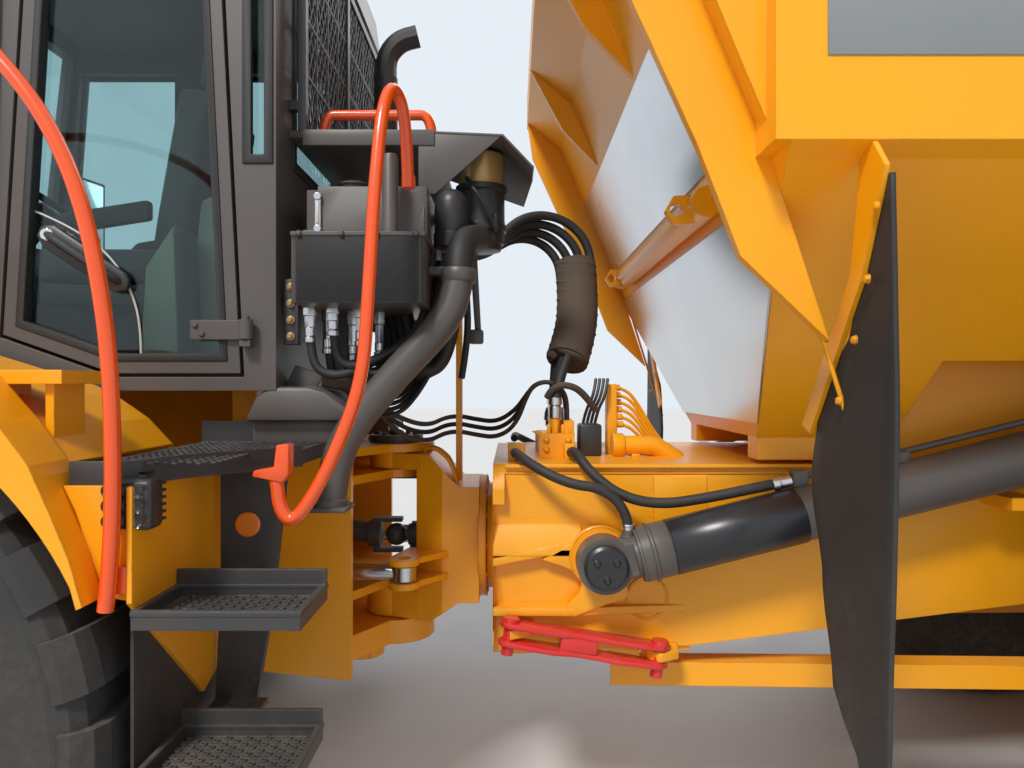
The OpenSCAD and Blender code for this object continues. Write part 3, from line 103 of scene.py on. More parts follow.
def new_material(name):
    """A material with nodes, its wiring and its shader."""
    material = bpy.data.materials.new(name)
    material.use_nodes = True
    return material, Wiring(material.node_tree), material.node_tree.nodes["Principled BSDF"]


# Camera, floor and light

def set_camera():
    bpy.ops.object.camera_add(location=(0.676, 2.95, 1.6), rotation=(radians(90), 0, radians(180)))
    camera = bpy.context.object
    camera.name = "camera"
    camera.data.lens = 26
    camera.data.sensor_width = 36
    camera.data.clip_end = 200
    bpy.context.scene.camera = camera


def lay_floor():
    """A plain pale floor, which is not part of the model."""
    bpy.ops.mesh.primitive_plane_add(size=90, location=(0, 0, 0))
    floor = bpy.context.object
    floor.name = "floor"
    material, w, shader = new_material("floor_pale")
    shader.inputs["Roughness"].default_value = 1.0
    shader.inputs["Specular IOR Level"].default_value = 0.05
    coords = w.add("ShaderNodeTexCoord").outputs["Object"]
    noise = w.add("ShaderNodeTexNoise", {"Scale": 3, "Vector": coords}).outputs["Fac"]
    ramp = w.add("ShaderNodeValToRGB", {"Fac": noise})
    ramp.color_ramp.elements[0].color = (0.60, 0.61, 0.62, 1)
    ramp.color_ramp.elements[1].color = (0.66, 0.665, 0.67, 1)
    w.tree.links.new(ramp.outputs["Color"], shader.inputs["Base Color"])
    floor.data.materials.append(material)


def add_sun(name, location, tilt, turn, energy, spread, colour=(1.0, 1.0, 1.0)):
    bpy.ops.object.light_add(type="SUN", location=location, rotation=(radians(tilt), radians(turn), 0))
    sun = bpy.context.object
    sun.name = name
    sun.data.energy = energy
    sun.data.angle = radians(spread)
    sun.data.color = colour


def light_studio():
    """A pale world that lights softly and is seen brighter than it lights, and two suns."""
    world = bpy.data.worlds.new("studio")
    bpy.context.scene.world = world
    world.use_nodes = True
    world.node_tree.nodes.clear()
    w = Wiring(world.node_tree)
    rays = w.add("ShaderNodeLightPath").outputs
    seen = w.math("MAXIMUM", rays["Is Camera Ray"], rays["Is Glossy Ray"])
    through = w.math("MAXIMUM", seen, rays["Is Transmission Ray"])
    lit = w.add("ShaderNodeBackground", {"Color": (0.93, 0.96, 1.0, 1), "Strength": 0.55}).outputs[0]
    shown = w.add("ShaderNodeBackground", {"Color": (0.80, 0.86, 0.92, 1), "Strength": 1}).outputs[0]
    mix = w.add("ShaderNodeMixShader", {0: through, 1: lit, 2: shown}).outputs[0]
    w.add("ShaderNodeOutputWorld", {0: mix})
    add_sun("key_light", (4, 6, 9), -38, 22, 2.6, 12, (1.0, 0.97, 0.92))
    add_sun("fill_light", (-4, -6, 9), 48, -30, 0.7, 40)


bpy.context.scene.view_settings.view_transform = "Standard"
set_camera()
lay_floor()
light_studio()
bpy.ops.object.select_all(action="DESELECT")


# Finishes

def group_sockets(group, inputs, outputs):
    """Gives a node group its inputs, with their values, and its outputs."""
    for name, kind, value in inputs:
        socket = group.interface.new_socket(name, in_out="INPUT", socket_type=kind)
        socket.default_value = value
    for name, kind in outputs:
        group.interface.new_socket(name, in_out="OUTPUT", socket_type=kind)


def worked_surface_group():
    """Colour, roughness and normal of a painted or moulded surface that is dusty and chipped."""
    group = bpy.data.node_groups.new("worked_surface", "ShaderNodeTree")
    group_sockets(group, [("Colour", "NodeSocketColor", (0.5, 0.5, 0.5, 1)),
        ("Under Colour", "NodeSocketColor", (0.05, 0.03, 0.02, 1)), ("Dust Colour", "NodeSocketColor",
        (0.32, 0.27, 0.2, 1)), ("Dust", "NodeSocketFloat", 0.3), ("Chips", "NodeSocketFloat", 0.3),
        ("Roughness", "NodeSocketFloat", 0.4), ("Shade", "NodeSocketFloat", 0.1),
        ("Grain Size", "NodeSocketFloat", 300.0), ("Grain", "NodeSocketFloat", 0.1),
        ("Edge Radius", "NodeSocketFloat", 0.004)], [("Colour", "NodeSocketColor"),
        ("Roughness", "NodeSocketFloat"), ("Normal", "NodeSocketVector")])
    w = Wiring(group)
    given = w.add("NodeGroupInput").outputs
    coords = w.add("ShaderNodeTexCoord").outputs["Object"]
    height = w.add("ShaderNodeSeparateXYZ", {0: coords}).outputs[2]
    facing = w.add("ShaderNodeNewGeometry").outputs["Normal"]
    up = w.add("ShaderNodeSeparateXYZ", {0: facing}).outputs[2]
    rounded = w.add("ShaderNodeBevel", {"Radius": given["Edge Radius"]}, samples=4).outputs[0]
    same = w.add("ShaderNodeVectorMath", {0: rounded, 1: facing},
        operation="DOT_PRODUCT").outputs["Value"]
    edge = w.spread(w.math("SUBTRACT", 1.0, same), 0.02, 0.16)
    patches = w.spread(w.noise(9.0, 5.0, 0.7, coords), 0.52, 0.62)
    chipped = w.math("MULTIPLY", w.math("MULTIPLY", edge, patches), given["Chips"], clamp=True)
    broad = w.noise(1.3, 4.0, 0.6, coords)
    shade = w.math("ADD", 1.0, w.math("MULTIPLY", w.spread(broad, 0.3, 0.7, -1.0, 1.0), given["Shade"]))
    tint = w.add("ShaderNodeCombineColor", {0: shade, 1: shade, 2: shade}).outputs[0]
    colour = w.blend(1.0, given["Colour"], tint, "MULTIPLY")
    low = w.spread(height, 1.5, 0.1)
    flat = w.math("MULTIPLY", w.spread(up, 0.55, 1.0), 0.55)
    settled = w.math("ADD", w.math("MULTIPLY", low, 0.75), flat)
    speckle = w.spread(w.noise(38.0, 6.0, 0.72, coords), 0.35, 0.75)
    smears = w.spread(w.noise(4.0, 3.0, 0.6, coords), 0.35, 0.7)
    dusty = w.math("MULTIPLY", w.math("MULTIPLY", settled, given["Dust"]),
        w.math("ADD", w.math("MULTIPLY", speckle, smears), 0.18), clamp=True)
    colour = w.blend(dusty, colour, given["Dust Colour"])
    colour = w.blend(chipped, colour, given["Under Colour"])
    rough = w.math("ADD", given["Roughness"], w.math("MULTIPLY", w.math("SUBTRACT", broad, 0.5), 0.18))
    rough = w.math("ADD", rough, w.math("MULTIPLY", w.math("ADD", dusty, chipped), 0.45), clamp=True)
    grain = w.noise(given["Grain Size"], 2.0, 0.5, coords)
    relief = w.math("ADD", w.math("MULTIPLY", grain, given["Grain"]), w.math("MULTIPLY", chipped, -0.4))
    bumped = w.add("ShaderNodeBump", {"Strength": 0.35, "Distance": 0.0015,
        "Height": relief, "Normal": rounded})
    w.add("NodeGroupOutput", {"Colour": colour, "Roughness": rough, "Normal": bumped.outputs[0]})
    return group


WORKED = worked_surface_group()


def finish_material(name, colour, rough, metal=0.0, coat=0.0, sheen=0.0, chips=0.0, **detail):
    """A worked surface; the detail's names are the group's sockets."""
    material, w, shader = new_material(name)
    shader.inputs["Metallic"].default_value = metal
    shader.inputs["Coat Weight"].default_value = coat
    shader.inputs["Coat Roughness"].default_value = 0.12
    shader.inputs["Sheen Weight"].default_value = sheen
    surface = w.add("ShaderNodeGroup", node_tree=WORKED)
    for socket, value in dict(detail, colour=colour, roughness=rough, chips=chips).items():
        value = (*value, 1) if isinstance(value, tuple) else value
        surface.inputs[socket.replace("_", " ").title()].default_value = value
    for fed, out in (("Base Color", "Colour"), ("Roughness", "Roughness"), ("Normal", "Normal")):
        w.tree.links.new(surface.outputs[out], shader.inputs[fed])
    return material


def glass_material(name, colour, rough=0.0):
    material, w, shader = new_material(name)
    shader.inputs["Transmission Weight"].default_value = 1
    shader.inputs["IOR"].default_value = 1.45
    coords = w.add("ShaderNodeTexCoord").outputs["Object"]
    smear = w.spread(w.noise(2.5, 4.0, 0.6, coords), 0.4, 0.75)
    tint = w.blend(smear, (*colour, 1), (*[c * 0.93 for c in colour], 1))
    w.tree.links.new(tint, shader.inputs["Base Color"])
    w.tree.links.new(w.spread(smear, 0.0, 1.0, rough, rough + 0.05), shader.inputs["Roughness"])
    return material


YELLOW = finish_material("yellow_paint", (0.97, 0.40, 0.001), 0.40, coat=0.15, dust=0.32, chips=0.55,
    shade=0.06, grain_size=230.0, grain=0.16, under_colour=(0.10, 0.045, 0.02), edge_radius=0.005)
TAUPE = finish_material("grey_paint", (0.098, 0.088, 0.083), 0.42, dust=0.55, chips=0.25, shade=0.08,
    grain_size=420.0, grain=0.2, under_colour=(0.25, 0.24, 0.22))
DARK = finish_material("dark_paint", (0.040, 0.040, 0.043), 0.48, dust=0.6, chips=0.5, shade=0.1,
    grain_size=420.0, grain=0.25, under_colour=(0.22, 0.2, 0.18))
ORANGE = finish_material("orange_paint", (0.90, 0.092, 0.005), 0.26, coat=0.5, dust=0.25, chips=0.2,
    shade=0.05, grain_size=260.0, grain=0.12)
RED = finish_material("red_paint", (0.72, 0.006, 0.008), 0.3, coat=0.4, dust=0.4, chips=0.5, shade=0.08,
    grain_size=260.0, grain=0.15)
BRIGHT = finish_material("bright_steel", (0.66, 0.67, 0.69), 0.24, metal=1.0, dust=0.2, shade=0.12,
    grain_size=160.0, grain=0.2)
CHROME = finish_material("chrome_rod", (0.78, 0.79, 0.80), 0.1, metal=1.0, dust=0.1, shade=0.04,
    grain_size=500.0, grain=0.03)
RUBBER = finish_material("black_rubber", (0.022, 0.022, 0.023), 0.62, dust=0.5, shade=0.15,
    grain_size=380.0, grain=0.35)
TYRE = finish_material("tyre_rubber", (0.026, 0.026, 0.027), 0.72, dust=1.0, shade=0.2,
    dust_colour=(0.20, 0.175, 0.14), grain_size=140.0, grain=0.5)
TRIM = finish_material("cab_trim", (0.055, 0.056, 0.058), 0.6, dust=0.2, shade=0.08,
    grain_size=600.0, grain=0.6)
GLASS = glass_material("tinted_glass", (0.55, 0.72, 0.73))

FINISHES = {"yellow_paint": YELLOW, "grey_paint": TAUPE, "dark_paint": DARK, "orange_paint": ORANGE,
    "red_paint": RED, "bright_steel": BRIGHT, "black_rubber": RUBBER, "tyre_rubber": TYRE,
    "cab_glass": GLASS, "cab_trim": TRIM}
slot_of_node = {row["node"]: row["material_slot"] for row in frame["record"]["subparts"]}
for name, node in nodes.items():
    node.data.materials.clear()
    node.data.materials.append(CHROME if "rod_" in name and "hoist" in name
        else FINISHES[slot_of_node[name]])

PLASTIC = finish_material("black_plastic", (0.028, 0.028, 0.03), 0.38, dust=0.3, shade=0.06,
    grain_size=900.0, grain=0.3)
SLEEVE = finish_material("brown_sleeve", (0.085, 0.062, 0.045), 0.85, dust=0.7, shade=0.3,
    grain_size=700.0, grain=0.9)
GOLD = finish_material("golden_band", (0.42, 0.27, 0.10), 0.35, metal=0.4, coat=0.3, dust=0.3,
    shade=0.15, grain_size=500.0, grain=0.1)
CLOTH = finish_material("seat_cloth", (0.14, 0.14, 0.135), 0.9, sheen=0.3, dust=0.1, shade=0.1,
    grain_size=1400.0, grain=1.0)
CONSOLE = finish_material("console_plastic", (0.30, 0.31, 0.24), 0.5, dust=0.2, shade=0.05,
    grain_size=900.0, grain=0.4)
LENS = glass_material("clear_lens", (0.9, 0.9, 0.88), 0.12)
AMBER = finish_material("amber_lens", (0.85, 0.22, 0.01), 0.2, coat=0.8, dust=0.1, shade=0.05,
    grain_size=120.0, grain=0.4)
PALE = finish_material("pale_band", (0.62, 0.63, 0.62), 0.5, dust=0.3, chips=0.1, shade=0.05)
BLANK = finish_material("blank_band", (0.23, 0.25, 0.26), 0.45, dust=0.4, chips=0.2, shade=0.06)
SLICK = finish_material("black_wrap", (0.017, 0.019, 0.024), 0.3, dust=0.25, shade=0.1,
    grain_size=300.0, grain=0.1)


# Ways of working that the pieces share

def only(*pieces):
    """Selects these pieces and no others, with the first one active."""
    bpy.ops.object.select_all(action="DESELECT")
    for piece in pieces:
        piece.select_set(True)
    bpy.context.view_layer.objects.active = pieces[0]


def settle(piece):
    """Leaves the object at the origin, with its place in its mesh."""
    only(piece)
    bpy.ops.object.transform_apply(location=True, rotation=True, scale=True)
    return piece


def apply_modifier(piece, kind, **settings):
    only(piece)
    modifier = piece.modifiers.new(kind.lower(), kind)
    for name, value in settings.items():
        setattr(modifier, name, value)
    bpy.ops.object.modifier_apply(modifier=modifier.name)
    return piece


def soften(piece, width=0.003, segments=2):
    """Breaks the sharp edges of a piece."""
    return apply_modifier(piece, "BEVEL", width=width, segments=segments, limit_method="ANGLE",
        angle_limit=radians(35))


def mirrored(piece):
    """The piece and its likeness on the machine's other side."""
    return apply_modifier(piece, "MIRROR", use_axis=(False, True, False), use_mirror_merge=False)


def joined(pieces):
    """The pieces in one mesh, at the first one's place."""
    only(*pieces)
    if len(pieces) > 1:
        bpy.ops.object.join()
    return bpy.context.object


def dressed(piece, name, finish, smooth):
    """Names the piece, gives it its finish and shades it smooth below an angle."""
    piece.name = name
    piece.data.name = name
    piece.data.materials.clear()
    piece.data.materials.append(finish)
    only(piece)
    bpy.ops.object.shade_smooth_by_angle(angle=radians(smooth))
    return piece


def fitted(piece, name, finish, body="front_unit", both=False, smooth=32):
    """A piece, or a list joined into one, dressed and riding on its body, on one side or on both."""
    piece = settle(joined(piece) if isinstance(piece, list) else piece)
    if both:
        mirrored(piece)
    dressed(piece, name, finish, smooth)
    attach(piece, body)
    return piece


def cut_plate(outline, low, high, across="Y", edge=0.002):
    """A flat plate with this outline, standing across an axis from low to high."""
    places = {"X": lambda a, b, c: (c, a, b), "Y": lambda a, b, c: (a, c, b),
        "Z": lambda a, b, c: (a, b, c)}
    bpy.ops.mesh.primitive_circle_add(vertices=len(outline), fill_type="NGON")
    piece = bpy.context.object
    for vertex, (a, b) in zip(piece.data.vertices, outline):
        vertex.co = places[across](a, b, low)
    bpy.ops.object.mode_set(mode="EDIT")
    bpy.ops.mesh.select_all(action="SELECT")
    bpy.ops.mesh.extrude_region_move(TRANSFORM_OT_translate={"value": places[across](0, 0, high - low)})
    bpy.ops.mesh.select_all(action="SELECT")
    bpy.ops.mesh.normals_make_consistent(inside=False)
    bpy.ops.object.mode_set(mode="OBJECT")
    if edge:
        soften(piece, edge)
    return piece


def ring_plate(outer, inner, low, high, across="Y", edge=0.0):
    """A frame between two outlines of the same number of corners."""
    piece = cut_plate(outer, low, high, across, 0)
    hole = cut_plate(inner, low - 0.05, high + 0.05, across, 0)
    apply_modifier(piece, "BOOLEAN", operation="DIFFERENCE", object=hole, solver="EXACT")
    bpy.data.objects.remove(hole)
    if edge:
        soften(piece, edge)
    return piece


def block(low, high, edge=0.003, segments=2):
    """A box between two corners, with its edges broken."""
    size = [b - a for a, b in zip(low, high)]
    bpy.ops.mesh.primitive_cube_add(size=1,
        location=[(a + b) / 2 for a, b in zip(low, high)], scale=size)
    piece = settle(bpy.context.object)
    return soften(piece, min(edge, min(size) * 0.45), segments)


def turned(profile, start, end, sides=32):
    """A turned piece: radii along the way from start to end, spun round it."""
    start, end = Vector(start), Vector(end)
    way = end - start
    bpy.ops.mesh.primitive_circle_add(vertices=sides, radius=1)
    piece = bpy.context.object
    bpy.ops.object.mode_set(mode="EDIT")
    bpy.ops.mesh.select_all(action="SELECT")
    at, radius = profile[0]
    bpy.ops.transform.resize(value=(radius,) * 3)
    bpy.ops.transform.translate(value=(0, 0, at * way.length))
    bpy.ops.mesh.edge_face_add()
    for next_at, next_radius in profile[1:]:
        move = {"value": (0, 0, (next_at - at) * way.length)}
        bpy.ops.mesh.extrude_region_move(TRANSFORM_OT_translate=move)
        bpy.ops.transform.resize(value=(next_radius / radius,) * 2 + (1,),
            center_override=(0, 0, next_at * way.length))
        at, radius = next_at, next_radius
    bpy.ops.mesh.select_all(action="SELECT")
    bpy.ops.mesh.normals_make_consistent(inside=False)
    bpy.ops.object.mode_set(mode="OBJECT")
    piece.matrix_world = Matrix.Translation(start) @ way.to_track_quat("Z", "Y").to_matrix().to_4x4()
    return settle(piece)


def bar(start, end, radius, edge=0.002, sides=28):
    length = (Vector(end) - Vector(start)).length
    e = min(edge, radius / 3, length / 3)
    return turned([(0, radius - e), (e / length, radius), (1 - e / length, radius),
        (1, radius - e)], start, end, sides)


def pipe(route, radius, sides=12, detail=10):
    """A round bar or hose on one smooth line through the corners of its route."""
    curve = bpy.data.curves.new("route", "CURVE")
    curve.dimensions = "3D"
    spline = curve.splines.new("NURBS")
    spline.points.add(len(route) - 1)
    for point, place in zip(spline.points, route):
        point.co = (*place, 1)
    spline.order_u = 3
    spline.use_endpoint_u = True
    curve.resolution_u = detail
    curve.bevel_depth = radius
    curve.bevel_resolution = max(0, sides // 4 - 1)
    curve.use_fill_caps = True
    piece = bpy.data.objects.new("pipe", curve)
    bpy.context.scene.collection.objects.link(piece)
    only(piece)
    bpy.ops.object.convert(target="MESH")
    return bpy.context.object


def centre_line(route):
    """Points along the smooth line that pipe() lays through a route."""
    line = pipe(route, 0.0)
    points = [tuple(v.co) for v in line.data.vertices]
    bpy.data.objects.remove(line)
    return points


def repeated(pattern, places):
    """The pattern copied to each place, all in one mesh."""
    whole = bmesh.new()
    for place in places:
        whole.verts.ensure_lookup_table()
        start = len(whole.verts)
        whole.from_mesh(pattern.data)
        whole.verts.ensure_lookup_table()
        bmesh.ops.transform(whole, matrix=place, verts=whole.verts[start:])
    mesh = bpy.data.meshes.new("copies")
    whole.to_mesh(mesh)
    whole.free()
    piece = bpy.data.objects.new("copies", mesh)
    bpy.context.scene.collection.objects.link(piece)
    bpy.data.objects.remove(pattern)
    return piece


def pointing(place, way, roll=0.0):
    """Where something made along +Z stands when it points another way."""
    turn = Vector(way).to_track_quat("Z", "Y").to_matrix().to_4x4()
    return Matrix.Translation(place) @ turn @ Matrix.Rotation(roll, 4, "Z")


def upright(profile, x, y, low, high, sides=32):
    return turned(profile, (x, y, low), (x, y, high), sides)


def stud(radius, tip, shoulder, start, end, sides=32):
    """A round stub that keeps its radius up to the shoulder and narrows to its tip."""
    return turned([(0, radius), (shoulder, radius), (1, tip)], start, end, sides)


def hoop(centre, radius, thickness, across="Y", count=16):
    """A thin bead laid in a circle round an axis through its centre."""
    turns = [2 * pi * k / count for k in range(count + 1)]
    ring = {"Y": lambda a: (cos(a), 0, sin(a)), "X": lambda a: (0, cos(a), sin(a))}[across]
    return pipe([Vector(centre) + radius * Vector(ring(a)) for a in turns], thickness, 8)


def tilted(place, degrees, axis="Y"):
    return Matrix.Translation(place) @ Matrix.Rotation(radians(degrees), 4, axis)


def bolt_pattern(size):
    """A hexagon head on its washer, standing on the face at z = 0."""
    washer = upright([(0, size * 1.05), (0.9, size * 1.05), (1, size)], 0, 0, 0, size * 0.2, 16)
    head = upright([(0, size * 0.86), (0.85, size * 0.86), (1, size * 0.72)], 0, 0,
        size * 0.18, size * 0.85, 6)
    return joined([washer, head])


def bolts(size, places, way):
    """Bolt heads at these places, all facing one way."""
    return repeated(bolt_pattern(size), [pointing(p, way, 0.3 * i) for i, p in enumerate(places)])


def circle_of(count, radius, centre, way, turn=0.0):
    """Places spread evenly round a centre, across a direction."""
    base = pointing(centre, way)
    return [base @ Vector((radius * cos(turn + 2 * pi * i / count),
        radius * sin(turn + 2 * pi * i / count), 0)) for i in range(count)]


def reworked(node, cutters):
    """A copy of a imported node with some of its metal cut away."""
    piece = nodes[node].copy()
    piece.data = nodes[node].data.copy()
    bpy.context.scene.collection.objects.link(piece)
    settle(piece)
    bpy.ops.object.mode_set(mode="EDIT")
    bpy.ops.mesh.select_all(action="SELECT")
    bpy.ops.mesh.remove_doubles(threshold=0.00002)
    bpy.ops.object.mode_set(mode="OBJECT")
    for cutter in cutters:
        apply_modifier(piece, "BOOLEAN", operation="DIFFERENCE", object=cutter, solver="EXACT")
        bpy.data.objects.remove(cutter)
    return piece


def thread_along(route, radius, winding, pitch):
    """A bead wound round the smooth line of a route."""
    line = [Vector(p) for p in centre_line(route)]
    steps = [0.0]
    for a, b in zip(line, line[1:]):
        steps.append(steps[-1] + (b - a).length)
    points = []
    count = int(steps[-1] / pitch * 12)
    for k in range(count + 1):
        far = steps[-1] * k / count
        i = min(max(j for j, s in enumerate(steps) if s <= far), len(line) - 2)
        share = (far - steps[i]) / (steps[i + 1] - steps[i])
        way = (line[i + 1] - line[i]).normalized()
        side = way.cross(Vector((0, 1, 0))).normalized()
        turn = 2 * pi * far / pitch
        points.append(line[i].lerp(line[i + 1],
            share) + radius * (side * cos(turn) + Vector((0, 1, 0)) * sin(turn)))
    return pipe(points, winding, 8, 2)


def rel(points, x=PIN, z=0.0):
    """Points counted along X and Z from the steering pin or another place."""
    return [(x + p[0], *p[1:-1], z + p[-1]) for p in points]


def rectangle(x0, x1, y0, y1):
    return [(x0, y0), (x1, y0), (x1, y1), (x0, y1)]


def pin_block(low, high, edge=0.003, segments=2):
    """A block whose corners are counted from the steering pin."""
    return block(*rel([low, high]), edge, segments)


# Hoses that cross the moving joints, each between two seats

def hose(name, route, radius, finish=RUBBER, replaced=None):
    """A stiff hose along its route, with its place baked into its mesh; it hides the imported hoses
    that it replaces.
    """
    piece = dressed(pipe(route, radius), name, finish, 50)
    path = centre_line(route)
    length = sum(dist(a, b) for a, b in zip(path, path[1:]))
    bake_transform(piece)
    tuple(route[0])
    if replaced:
        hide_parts(replaced)
    return piece


HOSE_ROWS = (-0.06, -0.02, 0.02, 0.06)
BULKHEAD_BACK, BULKHEAD_FACE, BULKHEAD_Z = PIN - 0.262, PIN - 0.238, 2.115
HOSE_R, BUNDLE_R, THIN_R = 0.017, 0.019, 0.009
HOSE_PITCH = 0.042
VALVE_X, BUNDLE_X = PIN - 0.62, PIN - 0.727
STAND_OFF = 0.0003  # a hose's end stands this far off its seat


def arc_over(start, rise, first, second, count=5):
    """Side view of a hose that leaves rearward, climbs by some degrees and turns straight down."""
    x, z = start
    up = radians(rise)
    points = [(x - first * sin(up * k / 2), z + first * (1 - cos(up * k / 2))) for k in (0, 1, 2)]
    x, z = points[-1]
    x, z = x - second * sin(up), z - second * cos(up)
    for k in range(1, count + 1):
        heading = up - (up + pi / 2) * k / count
        points.append((x + second * sin(heading), z + second * cos(heading)))
    return points


def crimp(place, way, radius=0.021, length=0.05):
    """The pressed end fitting of a hose, pointing along a direction."""
    end = Vector(place) + Vector(way) * length
    return turned([(0, radius), (0.55, radius), (0.6, radius * 0.8), (0.66, radius * 1.15),
        (1, radius * 1.1)], place, end, 16)


def joint_hoses():
    """The hoses over the hitch, over the roll joint and to the lift cylinders."""
    back, face, z = BULKHEAD_BACK, BULKHEAD_FACE, BULKHEAD_Z
    ends = []
    for i, y in enumerate(HOSE_ROWS):
        out = (i - 1.5) * HOSE_PITCH
        cab_y, lift = 0.09 + 1.4 * y, out * 0.3
        front = [(PIN + 0.245, cab_y, 1.9), (PIN + 0.15, cab_y, 1.9), (PIN + 0.05, (cab_y + y) / 2,
            1.955 + lift), (PIN - 0.06, y, 2.06 + lift), (PIN - 0.15, y, z), (face + STAND_OFF, y, z)]
        hose(f"front_hose_{i + 1}", front, HOSE_R,
            replaced="hoses_front")
        rise, first, down, leave = 45 + 5 * i, 0.16, BUNDLE_X - out, back - 0.023
        sine = sin(radians(rise))
        second = (leave - first * sine - down) / (1 + sine)
        arc = arc_over((leave, z), rise, first, second)
        rear = [(back - STAND_OFF, y, z)]
        for k, (px, pz) in enumerate(arc):
            share = min(1, 1.25 * k / (len(arc) - 1))
            rear.append((px, y * (1 - 0.65 * share) - 0.125 * share * share * (3 - 2 * share), pz))
        rear += [(down, y * 0.4 - 0.045, 1.88), (VALVE_X, y + 0.15, 1.63), (VALVE_X, y + 0.15, 1.4753)]
        hose(f"rear_hose_{i + 1}", rear, BUNDLE_R,
            replaced="hoses_rear")
        ends.append(crimp((VALVE_X, y + 0.15, 1.475), (0, 0, 1), 0.023, 0.075))
    fitted(ends, "rear_hose_crimps", BRIGHT, "rear_frame")
    for i, y in enumerate((-0.012, 0.0, 0.012)):
        low = 1.5 - 0.03 * i
        slack = rel([(0.1, 0.42 - 0.05 * i, 1.7997), (0.1, 0.42 - 0.05 * i, 1.7), (0.05, 0.38, 1.56),
            (-0.05, 0.3, low - 0.02), (-0.14, 0.16, low - 0.06), (-0.2, y, 1.47 - 0.03 * i),
            (-0.2377, y, 1.47 - 0.03 * i)])
        hose(f"slack_hose_{i + 1}", slack, THIN_R,
            RUBBER if i == 1 else SLEEVE)
        low, side_y = 1.47 - 0.03 * i, 0.07 + 0.04 * i
        onward = [(PIN - 0.2623, y, low), (PIN - 0.31, y, low - 0.01),
            (PIN - 0.4, y + 0.05, low - 0.02), (PIN - 0.475, 0.09 + y, low + 0.03),
            (PIN - 0.52, (0.1 + side_y) / 2, 1.565)]
        onward += [(PIN - 0.589 + 0.08 * sin(t), side_y, 1.525 + 0.085 * cos(t))
            for t in (0.52, 0, -0.52, -1.05, -1.57)]
        onward.append((PIN - 0.669, side_y, 1.4653))
        hose(f"return_hose_{i + 1}", onward, THIN_R,
            SLEEVE if i == 2 else RUBBER)
    for side, word in ((1, "left"), (-1, "right")):
        eye = [(x, side * y, z) for x, y, z in ((0.6655, 0.3503, 1.3578), (0.6655, 0.41, 1.366),
            (0.655, 0.475, 1.362), (0.61, 0.535, 1.335), (0.54, 0.575, 1.3), (0.47, 0.597, 1.278),
            (0.4072, 0.6, 1.2723), (0.344, 0.6, 1.2359), (0.3076, 0.6, 1.1727), (0.3076, 0.6, 1.1363))]
        hose(f"hoist_hose_{word}", eye, HOSE_R,
            replaced=f"hoses_hoist_{word[0]}")
        far = [(x, side * y, z) for x, y, z in ((0.4647, 0.3003, 1.3547), (0.464, 0.38, 1.37),
            (0.455, 0.47, 1.36), (0.41, 0.525, 1.3), (0.32, 0.56, 1.235), (0.2, 0.575, 1.212),
            (0.0488, 0.58, 1.235), (-0.130, 0.58, 1.272), (-0.2168, 0.58, 1.29))]
        hose(f"hoist_return_{word}", far, HOSE_R)


def hose_wrap():
    """Abrasion wrap wound round the four hoses above the valve block."""
    route = rel([(-0.722, -0.112, 2.1), (-0.728, -0.08, 1.98), (-0.722, -0.025, 1.86),
        (-0.7, 0.04, 1.765), (-0.672, 0.09, 1.69)])
    core = pipe(route, 0.083, 32)
    wound = thread_along(route, 0.075, 0.0135, 0.042)
    wrap = dressed(joined([core, wound]), "hose_wrap", SLEEVE, 50)
    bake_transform(wrap)


joint_hoses()
hose_wrap()


# Front unit: handrails, steps and platforms

def hand_rails():
    """The orange rails of the steps, the fender and the deck."""
    radius, outer = 0.017, 1.388
    long_rail = pipe(rel([(0.399, outer, 1.12), (0.386, outer, 1.231), (0.382, outer, 1.462),
        (0.393, outer, 1.713), (0.445, outer, 1.985), (0.529, outer, 2.174), (0.65, outer, 2.32),
        (0.814, 1.37, 2.48), (1.164, 1.3, 2.56), (1.5, 1.25, 2.5), (1.514, 1.25, 2.3),
        (1.514, 1.25, 1.74)]), radius, 20)
    deck_rail = pipe(rel([(0.165, 0.5, DECK_TOP), (0.165, 0.5, 2.49), (0.09, 0.5, 2.49),
        (-0.12, 0.5, 2.49), (-0.195, 0.5, 2.49), (-0.195, 0.5, DECK_TOP)]), radius, 20)
    clip = pin_block((0.364, 1.352, 1.15), (0.392, 1.372, 1.21), 0.004)
    foot = cut_plate(rectangle(PIN + 1.47, PIN + 1.56, 1.2, 1.3), 1.735, 1.743, "Z")
    paired = mirrored(joined([long_rail, deck_rail, clip, foot]))
    short_rail = pipe(rel([(0.125, 1.14, 1.383), (0.115, 1.14, 1.365), (0.11, 1.14, 1.3),
        (0.085, 1.14, 1.262), (0.05, 1.138, 1.29), (-0.01, 1.12, 1.4), (-0.085, 1.1, 1.598),
        (-0.096, 1.08, 1.812), (-0.106, 1.04, 2.127), (-0.12, 1.0, 2.349), (-0.14, 0.93, 2.42),
        (-0.165, 0.877, 2.34), (-0.169, 0.8774, 2.149)]), radius, 20)
    bracket = cut_plate(rel([(0.098, 1.36), (0.17, 1.375), (0.167, 1.39), (0.118, 1.398),
        (0.112, 1.452), (0.08, 1.455), (0.082, 1.38)]), 1.11, 1.16, edge=0.004)
    seat = pin_block((-0.188, 0.8603, 2.15), (-0.15, 0.88, 2.185), 0.004)
    rails = fitted([paired, short_rail, bracket, seat], "hand_rails", ORANGE, smooth=40)
    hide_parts("handrails")


